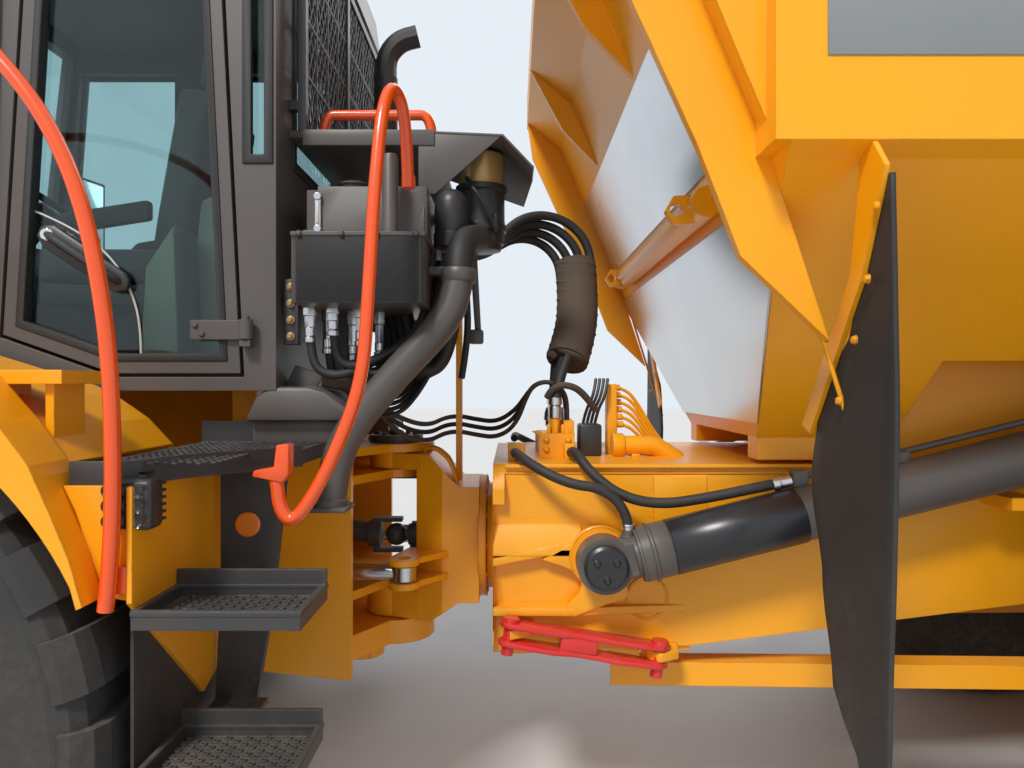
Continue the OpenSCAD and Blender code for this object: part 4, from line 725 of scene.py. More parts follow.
def tread_holes(x, y, z, pitch=0.03):
    """Raised anti-slip rims on a tread between x and y at height z."""
    rim = upright([(0, 0.0095), (1, 0.0078), (0.999, 0.0052), (0, 0.0045)], 0, 0, 0, 0.0045, 8)
    places = []
    step = pitch * 0.8
    rows = int((y[1] - y[0]) / pitch)
    columns = int((x[1] - x[0]) / step)
    for i in range(columns):
        for j in range(rows):
            shift = pitch / 2 if i % 2 else 0
            place = (x[0] + (i + 0.6) * step, y[0] + (j + 0.4) * pitch + shift, z)
            if place[1] < y[1] - 0.008:
                places.append(Matrix.Translation(place))
    return repeated(rim, places)


def steps():
    """Anti-slip treads with their raised rims, and the marker below the platform."""
    parts = []
    y0, y1, wall = 1.163, 1.366, 0.016
    for x0, x1, z in ((0.002, 0.337, 1.088), (0.013, 0.327, 0.748), (0.073, 0.327, 0.416)):
        x0, x1 = PIN + x0, PIN + x1
        parts.append(tread_holes((x0, x1), (y0, y1), z))
        outer = rectangle(x0 - wall, x1 + wall, y0 - wall, y1 + wall)
        parts.append(ring_plate(outer, rectangle(x0, x1, y0, y1), z + 0.015, z + 0.03, "Z", 0.004))
    parts.append(tread_holes((PIN + 0.2, PIN + 0.49), (0.68, 1.32), 1.42, 0.034))
    parts.append(tread_holes((PIN + 0.13, PIN + 0.2), (0.68, 0.95), 1.42, 0.034))
    for x in (0.09, 0.29):
        parts.append(cut_plate(rel(rectangle(x - 0.006, x + 0.03, 0.40, 0.75)),
            1.262, 1.272, edge=0.003))
    fitted(parts, "step_treads", DARK, both=True)
    lip = cut_plate(rel([(0.11, 0.93), (0.118, 0.93), (0.322, 1.175), (0.402, 1.335), (0.504, 1.335),
        (0.504, 1.343), (0.396, 1.343), (0.314, 1.182)]), 1.375, 1.432, "Z", 0.002)
    fitted(lip, "platform_lip", DARK, both=True)
    marker = stud(0.034, 0.03, 0.7, (PIN + 0.255, 0.944, 1.22), (PIN + 0.255, 0.953, 1.22), 32)
    fitted(marker, "side_markers", AMBER, both=True)


def work_lamps():
    """The nine-lens work lamp below the platform, on its bracket."""
    centre = Vector((PIN + 0.372, 1.33, 1.338))
    body = block(centre - Vector((0.055, 0.035, 0.055)),
        centre + Vector((0.055, 0.028, 0.055)), 0.014, 4)
    fins = [block(centre + Vector((-0.05, -0.055, z - 0.003)),
        centre + Vector((0.05, -0.034, z + 0.003)), 0.001, 1) for z in (-0.04, -0.024,
        -0.008, 0.008, 0.024, 0.04)]
    arm = joined([cut_plate(rel(rectangle(0.355, 0.389, 1.33, 1.405)), 1.29, 1.298),
        pin_block((0.355, 1.22, 1.397), (0.389, 1.298, 1.405), 0.002)])
    fitted([body, arm, *fins], "work_lamp_body", PLASTIC, both=True)
    cup = upright([(0, 0.015), (0.6, 0.016), (1, 0.0155), (0.8, 0.012), (0.3, 0.004)], 0, 0, 0, 0.012,
        16)
    spots = repeated(cup, [pointing(centre + Vector((i * 0.033, 0.026, j * 0.033)), (0, 1, 0))
        for i in (-1, 0, 1) for j in (-1, 0, 1)])
    fitted(spots, "work_lamp_lenses", LENS, both=True)


hand_rails()
steps()
work_lamps()


# Cab

DOOR = [(0.34, 1.621), (0.735, 1.621), (1.072, 1.74), (0.985, 3.18), (0.418, 3.18)]


def inset(outline, distance):
    """A convex outline, drawn anticlockwise, with each side moved inward."""
    points = [Vector(p) for p in outline]
    moved = []
    for i, p in enumerate(points):
        before = (p - points[i - 1]).normalized()
        after = (points[(i + 1) % len(points)] - p).normalized()
        a, b = Vector((-before.y, before.x)), Vector((-after.y, after.x))
        moved.append(tuple(p + (a + b) * distance / (1 + a.dot(b))))
    return moved


def door_trim():
    """Gasket, handle, lock and hinge bolts of the cab's door."""
    pane = 0.7165
    gasket = ring_plate(rel(inset(DOOR, 0.046)), rel(inset(DOOR, 0.07)), 0.704, 0.7445, edge=0.004)
    fitted(gasket, "door_gasket", RUBBER, "cab_door")
    pane_edge = pipe(rel([(0.994, pane, 2.127), (0.9, pane, 2.09), (0.76, pane, 2.0),
        (0.687, pane, 1.88), (0.66, pane, 1.77), (0.66, pane, 1.68)]), 0.0035, 8)
    fitted(pane_edge, "door_pane_edge", PALE, "cab_door")
    grip = pipe(rel([(0.93, 0.735, 2.05), (0.92, 0.762, 2.045), (0.83, 0.772, 1.985),
        (0.73, 0.766, 1.92), (0.715, 0.735, 1.905)]), 0.0125, 12)
    shell = cut_plate(rel([(0.69, 1.88), (0.73, 1.872), (0.945, 2.01), (0.965, 2.045), (0.95, 2.075),
        (0.91, 2.075), (0.70, 1.935), (0.685, 1.91)]), 0.72, 0.742, edge=0.009)
    fitted([grip, shell], "door_handle", PLASTIC, "cab_door")
    lock = stud(0.02, 0.016, 0.7, (PIN + 0.925, 0.741, 2.045), (PIN + 0.925, 0.757, 2.045), 24)
    fitted(lock, "door_lock", CHROME, "cab_door")
    hinge_bolts = [p for z in (1.76, 2.96) for p in ((PIN + 0.46, 0.756, z - 0.012),
        (PIN + 0.48, 0.756, z + 0.014))]
    fitted(bolts(0.009, hinge_bolts, (0, 1, 0)), "door_hinge_bolts", TAUPE, "cab_door")


def window_gaskets():
    """Rubber profiles round the fixed panes and round the door opening."""
    side = [(1.194, 2.0), (1.744, 2.0), (1.66, 3.12), (1.194, 3.12)]
    quarter = rectangle(0.265, 0.334, 2.27, 3.12)
    escape = [(0.42, 2.0), (1.047, 2.0), (0.975, 3.12), (0.439, 3.12)]
    paired = mirrored(joined([ring_plate(rel(inset(pane, -0.012)), rel(inset(pane, 0.016)), 0.728,
        0.746, edge=0.004) for pane in (side, quarter)]))
    rear = rectangle(-0.56, 0.56, 2.3, 3.12)
    whole = [paired, ring_plate(rel(inset(escape, -0.012)), rel(inset(escape, 0.018)), -0.746, -0.728,
        edge=0.004), ring_plate(inset(rear, -0.012), inset(rear, 0.02), PIN + 0.239, PIN + 0.256, "X",
        0.004), ring_plate(rel(inset(DOOR, -0.002)), rel(inset(DOOR, 0.022)), 0.664, 0.679, edge=0.004)]
    fitted(whole, "window_gaskets", RUBBER)


door_trim()
window_gaskets()


# Rear frame and hitch

HOIST = Vector((PIN - 0.753, 0.6, 1.03))
HOIST_WAY = Vector((-cos(radians(14)), 0, sin(radians(14))))


def along_hoist(far, lift=0.0, side=1):
    """A point along a lift cylinder from its eye, and lifted off its line."""
    at = HOIST + HOIST_WAY * far + Vector((HOIST_WAY.z, 0, -HOIST_WAY.x)) * lift
    return (at.x, side * at.y, at.z)


def frame_sides():
    """The rear frame with its hooked hoist plates, wings and lock lugs."""
    p, z, head = HOIST.x, HOIST.z, 0.739
    web, cutters = 0.4603, []
    for side in (1, -1):
        low, high = sorted((side * web, side * 0.5073))
        cutters.append(block((p - 0.33, low, 0.78), (head + 0.0002, high, 1.2), 0.0001, 1))
        low, high = sorted((side * web, side * 0.62))
        cutters.append(block((0.1, low, 0.68), (0.735, high, 0.79), 0.0001, 1))
    frame_piece = soften(reworked("rear_frame", cutters), 0.0015, 1)
    plate = cut_plate(rel([(0.194, -0.012), (0.12, 0.03), (0.06, 0.068), (0.008, 0.088),
        (-0.053, 0.082), (-0.082, 0.03), (-0.088, -0.03), (-0.092, -0.136), (-0.02, -0.16),
        (0.088, -0.202), (0.115, -0.171), (0.086, -0.14), (0.068, -0.118), (0.062, -0.093),
        (0.072, -0.07), (0.1, -0.045), (0.137, -0.03)], p, z), 0.481, 0.507, edge=0.004)
    boss = stud(0.1, 0.094, 0.9, (p, 0.459, z), (p, 0.512, z), 48)
    weld = hoop((p, 0.5085, z), 0.101, 0.005)
    ring = hoop((0.222, 0.4605, 0.88), 0.07, 0.0045)
    upper = cut_plate([(p - 0.06, 1.079), (p - 0.06, 1.105), (head, 1.022), (head, 0.996)],
        0.459, 0.506, edge=0.002)
    slope = cut_plate([(0.4595, 1.1), (0.4595, 1.13), (0.507, 1.05), (0.507, 1.03)],
        p + 0.06, head, "X", 0.002)
    lower = cut_plate([(head, 0.459), (head, 0.506), (p + 0.1, 0.506), (p - 0.1, 0.48),
        (p - 0.3, 0.459)], 0.832, 0.858, "Z", 0.003)
    seams = [bar((0.735, 0.461, 0.75), (0.735, 0.461, 1.3), 0.004, 0.001, 8),
        bar((0.72, 0.4602, 1.3), (-1.05, 0.4602, 1.3), 0.004, 0.001, 8)]
    lip = cut_plate(rectangle(-1.05, 0.70, 0.45, 0.478), 1.318, 1.331, "Z", 0.003)
    pad = block((0.02, 0.458, 1.05), (0.2, 0.466, 1.29), 0.003)
    lugs = []
    for x0, x1, end in ((0.60, 0.69, 0.683), (0.12, 0.245, 0.196)):
        z0 = 0.788 - (0.683 - end) * 0.15
        lugs.append(cut_plate([(x0, 0.459), (x1, 0.459), (x1 - 0.01, 0.53), (end, 0.565),
            (x0 + 0.01, 0.53)], z0 - 0.016, z0 + 0.016, "Z", 0.004))
    sides = mirrored(joined([plate, boss, weld, ring, upper, slope, lower, *seams, lip, pad, *lugs]))
    whole = fitted([sides, frame_piece], "rear_frame_plates", YELLOW, "rear_frame", smooth=28)
    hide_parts("rear_frame")


def lock_bar_plates():
    """The parked lock bar: two waisted plates on pins with a solid middle."""
    parts = []
    outline = [(0.036, 0), (0.026, 0.028), (0, 0.038), (-0.15, 0.046), (-0.22, 0.03), (-0.3, 0.034),
        (-0.35, 0.044), (-0.47, 0.036), (-0.5, 0.03), (-0.528, 0), (-0.5, -0.03), (-0.35, -0.036),
        (-0.15, -0.036), (0, -0.036), (0.026, -0.026)]
    for z in (-0.039, 0.021):
        parts.append(cut_plate(outline, z, z + 0.018, "Z", 0.005))
    parts.append(block((-0.285, -0.032, -0.022), (-0.165, 0.034, 0.022), 0.004))
    bar_piece = joined(parts)
    place = tilted((0.683, 0.537, 0.788), -8.5)
    bar_piece.matrix_world = place
    fitted(bar_piece, "lock_bar_plates", RED, "rear_frame")
    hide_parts("lock_bar")
    pins = []
    for x in (0.0, -0.492):
        at = place @ Vector((x, 0, 0.039))
        low = place @ Vector((x, 0, -0.07))
        pins.append(turned([(0, 0.02), (0.8, 0.02), (0.81, 0.029), (0.97, 0.029), (1, 0.025)], low,
            Vector(at) + Vector((0, 0, 0.012)), 20))
    fitted(pins, "lock_bar_pins", RED, "rear_frame")


def hoist_dressing():
    """Wrap, collar, ports and pipe of both lift cylinders, and the caps of their pins."""
    for side, word in ((1, "left"), (-1, "right")):
        body = f"hoist_barrel_{word[0]}"
        wrap = turned([(0, 0.086), (0.005, 0.0885), (0.995, 0.0885), (1, 0.086)],
            along_hoist(0.215, 0, side), along_hoist(0.637, 0, side), 64)
        fitted(wrap, f"hoist_wrap_{word}", SLICK, body, smooth=50)
        collar = turned([(0, 0.0855), (0.02, 0.088), (0.3, 0.088), (0.34, 0.0935), (0.42, 0.0935),
            (0.46, 0.088), (0.97, 0.088), (1, 0.0855)], along_hoist(0.118, 0, side),
            along_hoist(0.214, 0, side), 64)
        port = upright([(0, 0.026), (0.5, 0.026), (0.55, 0.021), (1, 0.02)], 0.3076,
            side * 0.6, 1.1, 1.136, 20)
        tee = block((-0.268, side * 0.58 - 0.022, 1.27), (-0.217, side * 0.58 + 0.022, 1.325), 0.006)
        foot = block((-0.262, side * 0.58 - 0.02, 1.25), (-0.226, side * 0.58 + 0.02, 1.272), 0.003)
        clips = [block([v - 0.02 for v in along_hoist(far, 0.1, side)],
            [v + 0.018 for v in along_hoist(far, 0.1, side)], 0.004) for far in (1.0, 1.5, 2.1)]
        line = bar((-0.262, side * 0.58, 1.305), along_hoist(2.2, 0.112, side), 0.011, 0.002, 14)
        fitted([collar, port, tee, foot, line, *clips], f"hoist_fittings_{word}",
            TAUPE, body, smooth=50)
        shine = [crimp((0.3076, side * 0.6, 1.1365), (0, 0, 1), 0.021, 0.02),
            crimp((-0.216, side * 0.58, 1.29), (0.979, 0, -0.203), 0.0205, 0.06)]
        fitted(shine, f"hoist_crimps_{word}", BRIGHT, body)
        cap = stud(0.07, 0.06, 0.7, (HOIST.x, side * 0.654, HOIST.z),
            (HOIST.x, side * 0.678, HOIST.z), 40)
        keeper = bolts(0.011, [(HOIST.x + 0.035 * cos(a), side * 0.678, HOIST.z + 0.035 * sin(a))
            for a in (0.5, 2.6, 4.7)], (0, side, 0))
        fitted([cap, keeper], f"hoist_pin_cap_{word}", SLICK, "rear_frame")


def valve_station():
    """Manifolds, ports and pipes on top of the rear frame."""
    parts = [block((0.448, 0.245, BEAM_TOP), (0.488, 0.3, 1.385), 0.005),
        block((0.63, 0.3, BEAM_TOP), (0.69, 0.35, 1.392), 0.006), block((0.27, 0.03, BEAM_TOP),
        (0.31, 0.1, 1.6), 0.006), block((0.452, 0.07, 1.418), (0.54, 0.2, 1.446), 0.005)]
    for x in (0.463, 0.489, 0.515, 0.541):
        parts.append(block((x - 0.007, 0.225, 1.418), (x + 0.007, 0.241, 1.452), 0.002))
    parts.append(cut_plate([(0.548, 1.33), (0.562, 1.33), (0.566, 1.385), (0.58, 1.41), (0.603, 1.425),
        (0.575, 1.43), (0.553, 1.405), (0.546, 1.37)], 0.2, 0.225, edge=0.003))
    parts.append(bolts(0.011, [(0.47, 0.2405, 1.36), (0.55, 0.2405, 1.36), (0.47, 0.2405, 1.395),
        (0.55, 0.2405, 1.395)], (0, 1, 0)))
    for i in range(6):
        y = 0.012 + 0.018 * i
        top = 1.585 - 0.028 * i
        parts.append(pipe([(0.272, y, top), (0.235, y, top - 0.002), (0.19, y, top - 0.04),
            (0.12, y, 1.42 - 0.02 * i), (0.07 + 0.012 * i, y, 1.36), (0.04 + 0.012 * i, y, 1.331)],
            0.0075, 8))
        parts.append(turned([(0, 0.013), (1, 0.012)], (0.27, y, top), (0.248, y, top), 6))
    parts.append(pipe([(0.271, 0.17, 1.37), (0.2, 0.17, 1.37), (0.12, 0.16, 1.365),
        (0.05, 0.15, 1.31)], 0.036, 20))
    parts.append(stud(0.046, 0.04, 0.8, (0.30, 0.17, 1.37), (0.255, 0.17, 1.37), 24))
    parts.append(block((0.2, 0.14, BEAM_TOP), (0.23, 0.2, 1.34), 0.002))
    fitted(parts, "valve_manifold", YELLOW, "rear_frame", smooth=40)
    tops = [upright([(0, 0.018), (0.3, 0.018), (0.32, 0.024), (0.7, 0.022), (1, 0.015)], x, y, 1.44,
        1.51, 12) for x, y in ((0.478, 0.1), (0.505, 0.16), (0.53, 0.1))]
    fitted(tops, "valve_fittings", BRIGHT, "rear_frame")
    leads = [pipe([(x, 0.12, 1.446), (x - 0.01, 0.13, 1.5), (x - 0.04, 0.15, 1.56),
        (x - 0.05, 0.12, 1.62)], 0.006, 8) for x in (0.36, 0.375, 0.39, 0.405)]
    fitted([*leads, block((0.34, 0.08, BEAM_TOP), (0.425, 0.19, 1.45), 0.01)], "valve_leads",
        PLASTIC, "rear_frame")
    arc = pipe([(0.545, 0.2, 1.55), (0.53, 0.22, 1.585), (0.475, 0.23, 1.6), (0.41, 0.2, 1.57),
        (0.36, 0.16, 1.5)], 0.013, 12)
    fitted(arc, "sleeved_lead", SLEEVE, "rear_frame")


def hitch_dressing():
    """Grease lines, seams and bolt heads of the hitch castings."""
    roll_z, cap_z = 1.002, 1.4
    parts = []
    for i in range(3):
        y = 0.06 + 0.04 * i
        parts.append(pipe(rel([(-0.125, y, 1.3355), (-0.13, y, 1.352), (-0.15, y + 0.01, 1.36),
            (-0.19, y + 0.02, 1.345), (-0.235, y + 0.03, 1.3), (-0.262, 0.12 + y * 0.3, 1.2)]), 0.006,
            8))
    parts += [hoop((PIN + x, 0, roll_z), 0.2358, 0.004, "X", 24) for x in (-0.336, -0.36)]
    parts.append(bolts(0.01, circle_of(12, 0.222, (PIN - 0.3595, 0, roll_z), (-1, 0, 0)), (-1, 0, 0)))
    fitted(parts, "hitch_grease_lines", YELLOW, "hitch", smooth=45)
    caps = [bolts(0.013, circle_of(6, 0.074, (PIN, 0, cap_z), (0, 0, 1)), (0, 0, 1)),
        stud(0.03, 0.022, 0.6, (PIN, 0, cap_z), (PIN, 0, 1.418), 24)]
    fitted(caps, "pin_cap_bolts", TAUPE)
    nipples = [upright([(0, 0.006), (0.5, 0.006), (0.6, 0.004), (0.8, 0.005), (1, 0.002)], PIN + x, y,
        1.372, 1.39, 10) for x, y in ((0.12, 0.06), (0.12, -0.06))]
    fitted(nipples, "grease_nipples", BRIGHT)


frame_sides()
lock_bar_plates()
hoist_dressing()
valve_station()
hitch_dressing()


# Deck, tank, filters and what hangs below them

def tank():
    """The tank below the deck, with its filler, pipe, flange and gauge."""
    cut = pin_block((-0.21, 0.742, 2.0303), (0.17, 0.88, 2.2), 0.0001, 1)
    body = soften(reworked("hydraulic_tank", [cut]), 0.004, 2)
    pipe_up = upright([(0, 0.026), (0.04, 0.0235), (0.95, 0.0235), (1, 0.019)], PIN - 0.108,
        0.815, 2.03, 2.262, 24)
    ribs = [cut_plate(rel([(x, 2.03), (x + 0.03, 2.03), (x + 0.004, 2.13), (x, 2.13)]), 0.742, 0.748)
        for x in (-0.1, -0.2)]
    flange = bolts(0.0085, [(PIN + x, 0.8705, 2.024) for x in (0.14, 0.02, -0.08, -0.19)], (0, 1, 0))
    neck = upright([(0, 0.052), (0.7, 0.052), (0.75, 0.058), (1, 0.05)], PIN + 0.06,
        0.5, 2.228, 2.262, 24)
    whole = fitted([body, pipe_up, *ribs, flange, neck], "hydraulic_tank_body", TAUPE)
    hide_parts("hydraulic_tank")
    fitted([pin_block((0.108, 0.741, 2.05), (0.128, 0.752, 2.17), 0.004),
        *[turned([(0, 0.012), (1, 0.011)], (PIN + 0.118, 0.741, z), (PIN + 0.118, 0.757, z), 16)
        for z in (2.062, 2.158)]], "sight_gauge_frame", BRIGHT)
    tube = pin_block((0.113, 0.7525, 2.075), (0.123, 0.757, 2.145), 0.002)
    fitted(tube, "sight_gauge_tube", PALE)


def deck_pieces():
    """The deck with its folded cover and cupboard, and the air pipe beside it."""
    cover = [cut_plate(rel([(-0.15, 2.4005), (-0.432, 2.388), (-0.53, 2.285), (-0.524, 2.281),
        (-0.43, 2.381), (-0.15, 2.394)]), 0.44, 0.62, edge=0.001),
        cut_plate(rel([(-0.165, 2.398), (-0.43, 2.386), (-0.218, 2.2), (-0.165, 2.2)]), 0.612, 0.618,
        edge=0.001),
        cut_plate(rel([(-0.2, 2.398), (-0.432, 2.386), (-0.528, 2.283), (-0.5, 2.2), (-0.22, 2.3)]),
        0.44, 0.446, edge=0.001)]
    plate = pin_block((-0.216, -0.9, DECK_UNDER), (0.245, 0.62, DECK_TOP), 0.003)
    tread = tread_holes((PIN - 0.2, PIN + 0.19), (-0.86, 0.6), DECK_TOP, 0.05)
    posts = [pin_block((-0.06, y, 2.1895), (-0.02, y + 0.03, 2.378), 0.003) for y in (0.33, 0.6)]
    lip = pin_block((-0.216, 0.612, 2.352), (0.2, 0.622, 2.402), 0.002)
    right = pin_block((-0.206, -0.86, 1.83), (0.164, -0.345, DECK_UNDER), 0.008)
    foot = pin_block((0.1, -0.435, 1.36), (0.16, -0.405, 1.83), 0.002)
    doors = [pin_block((-0.19 + i * 0.18, -0.864, 1.86), (-0.025 + i * 0.18, -0.858, 2.34),
        0.003) for i in (0, 1)]
    knobs = [turned([(0, 0.012), (1, 0.01)], (PIN - 0.05 + i * 0.18, -0.864, 2.1),
        (PIN - 0.05 + i * 0.18, -0.876, 2.1), 16) for i in (0, 1)]
    whole = fitted([*cover, plate, tread, *posts, lip, right, foot, *doors, *knobs],
        "deck_plates", TAUPE)
    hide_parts("deck")
    air = pipe(rel([(0.08, 0.75, 1.24), (0.076, 0.75, 1.32), (0.03, 0.75, 1.46), (-0.127, 0.75, 1.645),
        (-0.245, 0.75, 1.765), (-0.29, 0.74, 1.85), (-0.3, 0.73, 1.93)]), 0.047, 32)
    rings = [turned([(0, 0.05), (0.1, 0.053), (0.9, 0.053), (1, 0.05)], rel([a])[0], rel([b])[0], 32)
        for a, b in (((-0.299, 0.731, 1.905), (-0.3, 0.73, 1.945)),
        ((0.08, 0.75, 1.235), (0.079, 0.75, 1.262)))]
    flange = pin_block((0.02, 0.69, 1.225), (0.14, 0.81, 1.24), 0.006)
    bracket = pin_block((-0.3, 0.66, 1.93), (-0.2065, 0.72, 1.955), 0.003)
    fitted([air, *rings, flange, bracket], "charge_air_pipe", TAUPE, smooth=40)
    boot = pipe(rel([(-0.3, 0.73, 1.94), (-0.302, 0.72, 2.0), (-0.32, 0.66, 2.05), (-0.35, 0.55, 2.07),
        (-0.352, 0.47, 2.1)]), 0.043, 28)
    fitted(boot, "intake_boot", RUBBER, smooth=50)


def filter_canisters():
    """The two filters below the deck's cover."""
    x, y = PIN - 0.356, 0.45
    body = upright([(0, 0.05), (0.02, 0.066), (0.1, 0.07), (0.12, 0.078), (0.3, 0.079), (0.31, 0.086),
        (0.4, 0.087), (0.41, 0.079), (0.9, 0.079), (0.92, 0.087), (1, 0.086)], x, y, 2.044, 2.262, 40)
    clips = []
    for k in range(4):
        a = 0.6 + k * pi / 2
        at = (x + 0.088 * cos(a), y + 0.088 * sin(a))
        clips.append(bar((*at, 2.1), (*at, 2.16), 0.007, 0.002, 8))
    small = upright([(0, 0.05), (0.05, 0.054), (0.72, 0.054), (0.85, 0.048), (0.95, 0.034), (1, 0.02)],
        PIN - 0.268, 0.6, 2.06, 2.215, 32)
    skirt = upright([(0, 0.03), (0.2, 0.057), (1, 0.057)], PIN - 0.268, 0.6, 2.02, 2.075, 32)
    arm = pin_block((-0.36, 0.44, 2.14), (-0.2063, 0.46, 2.18), 0.003)
    wire = pipe([(x - 0.05, y + 0.08, 2.1), (x - 0.02, y + 0.13, 2.17), (x + 0.04, y + 0.12, 2.26),
        (x + 0.05, y + 0.03, 2.29)], 0.007, 8)
    whole = fitted([body, *clips, small, skirt, arm, wire], "filter_canisters", PLASTIC, smooth=40)
    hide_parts("filters")
    band = upright([(0, 0.074), (0.04, 0.0765), (0.94, 0.0765), (1, 0.07)], x, y, 2.262, 2.372, 40)
    fitted(band, "filter_band", GOLD, smooth=40)


def lower_plumbing():
    """Short plumbing on the front unit, clipped below the tank and behind it."""
    runs, shine = [], []
    for i, (x, y, drop) in enumerate(((0.15, 0.72, 0.05), (0.115, 0.64, 0.08), (0.08, 0.72, 0.03),
            (0.04, 0.62, 0.1), (0.0, 0.7, 0.06), (-0.04, 0.6, 0.09))):
        low = 1.69 - drop
        runs.append(pipe(rel([(x, y, TANK_FOOT), (x, y, low + 0.06), (x - 0.03, y, low - 0.01),
            (x - 0.12, y, low - 0.015 + 0.01 * i), (-0.16 - 0.012 * i, y - 0.05, 1.74 + 0.008 * i),
            (-0.2 - 0.014 * i, y - 0.08, 1.86), (-0.21 - 0.016 * i, y - 0.1, 2.02 - 0.02 * i)]), 0.0135,
            12))
        shine.append(crimp((PIN + x, y, low + 0.13), (0, 0, -1), 0.0165, 0.045))
        shine.append(upright([(0, 0.02), (0.4, 0.02), (0.42, 0.016), (1, 0.016)], PIN + x, y,
            TANK_FOOT + 0.0005, low + 0.13, 6))
    for i in range(4):
        y = 0.37 + 0.045 * i
        runs.append(pipe(rel([(-0.02 - 0.03 * i, y, TANK_FOOT), (-0.04 - 0.03 * i, y, 1.72),
            (-0.1 - 0.02 * i, y, 1.61 + 0.01 * i), (-0.2 - 0.01 * i, y, 1.66),
            (-0.255 - 0.005 * i, y + 0.02, 1.8), (-0.28, y + 0.02, 1.95), (-0.28, y, 2.05)]), 0.024,
            14))
    for i in range(5):
        y = 0.53 - 0.035 * i
        runs.append(pipe(rel([(0.17, y, 1.55 + 0.012 * i), (0.05, y, 1.5 + 0.014 * i),
            (-0.08, y - 0.02, 1.49 + 0.02 * i), (-0.15, y - 0.05, 1.57 + 0.02 * i),
            (-0.22, y - 0.05, 1.7), (-0.27 - 0.005 * i, y - 0.02, 1.86), (-0.28, y, 2.0)]), 0.0085, 10))
    runs.append(pipe(rel([(-0.3, 0.5, 2.05), (-0.31, 0.5, 1.9), (-0.315, 0.49, 1.75),
        (-0.29, 0.46, 1.62)]), 0.013, 10))
    fitted(runs, "lower_hoses", RUBBER, smooth=50)
    fitted(shine, "hose_crimps", BRIGHT)
    sleeve = pipe(rel([(0.12, 0.66, 1.62), (0.06, 0.66, 1.605), (0.0, 0.65, 1.61), (-0.1, 0.63, 1.65),
        (-0.17, 0.6, 1.74)]), 0.03, 16)
    fitted(sleeve, "lower_sleeve", SLEEVE, smooth=50)
    fitted([cut_plate(rel([(-0.29, DECK_UNDER), (-0.32, DECK_UNDER), (-0.352, 1.78), (-0.33, 1.78)]),
        0.345, 0.357), pin_block((-0.36, 0.335, 1.74), (-0.31, 0.38, 1.79), 0.008),
        pin_block((-0.33, 0.345, 2.36), (-0.2, 0.385, 2.378), 0.003)], "deck_stay", TAUPE)
    cone = cut_plate(rel([(0.345, 1.487), (0.31, 1.56), (0.27, 1.592), (0.15, 1.592), (0.1, 1.578),
        (0.02, 1.52), (0.02, 1.487)]), 0.5, 0.74, edge=0.03)
    fitted([cone, cut_plate(rel([(0.26, 1.578), (0.22, 1.66), (0.13, 1.63), (0.17, 1.56)]), 0.62, 0.63,
        edge=0.002), pin_block((0.03, 0.52, 1.42), (0.33, 0.7, 1.49), 0.004)], "cab_foot_cover", TAUPE)
    terminal = pin_block((0.19, 0.66, 1.72), (0.236, 0.7, 1.92), 0.004)
    fitted(terminal, "terminal_block", DARK)
    contacts = [turned([(0, 0.013), (0.3, 0.013), (0.35, 0.008), (1, 0.007)], (PIN + 0.213, 0.7, z),
        (PIN + 0.213, 0.715, z), 12) for z in (1.745, 1.795, 1.845, 1.895)]
    fitted(contacts, "terminal_contacts", GOLD)
    apron = pin_block((-0.2, 0.8605, TANK_FOOT), (0.15, 0.868, 2.016), 0.003)
    fitted(apron, "tank_apron", RUBBER)


def guard_mesh():
    """Expanded metal in the two openings of the rear guard."""
    strands = []
    z0, z1, rise, pitch = 2.43, 3.15, 1.7, 0.075
    for y0, y1 in ((-0.59, -0.02), (0.02, 0.59)):
        first = z0 - (y1 - y0) * rise
        for lean in (1, -1):
            for k in range(int((z1 - first) / pitch)):
                base = first + pitch * (k + 0.5)
                low = max(0.0, (z0 - base) / rise)
                high = min(y1 - y0, (z1 - base) / rise)
                if high - low > 0.02:
                    ends = [(PIN + 0.2, y0 + s if lean > 0 else y1 - s, base + s * rise)
                        for s in (low, high)]
                    strands.append(bar(*ends, 0.0035, 0.001, 6))
    fitted(strands, "guard_mesh", DARK)


tank()
deck_pieces()
filter_canisters()
lower_plumbing()
guard_mesh()


# Cab interior

def cushion(low, high, crown, welts=()):
    """A padded block whose sides pull in at the corners, crowned in the middle."""
    size = Vector(high) - Vector(low)
    middle = (Vector(high) + Vector(low)) / 2
    bpy.ops.mesh.primitive_cube_add(size=1, location=(0, 0, 0), scale=size)
    piece = settle(bpy.context.object)
    bpy.ops.object.mode_set(mode="EDIT")
    bpy.ops.mesh.select_all(action="SELECT")
    bpy.ops.mesh.subdivide(number_cuts=7)
    bpy.ops.object.mode_set(mode="OBJECT")
    soften(piece, 0.012, 2)
    apply_modifier(piece, "SUBSURF", levels=1, render_levels=1)
    for vertex in piece.data.vertices:
        share = Vector([vertex.co[k] / (size[k] / 2) for k in range(3)])
        round_off = [1 - min(1, abs(share[k])) ** 3 for k in range(3)]
        for k in range(3):
            others = [round_off[j] for j in range(3) if j != k]
            vertex.co[k] *= 1 + crown * (others[0] * others[1] - 0.35)
        for axis, at in welts:
            near = abs(share[axis] - at) * size[axis] / 2
            vertex.co[2] -= 0.006 * exp(-(near / 0.008) ** 2) * (1 if vertex.co[2] > 0 else -1)
    piece.data.transform(Matrix.Translation(middle))
    return piece


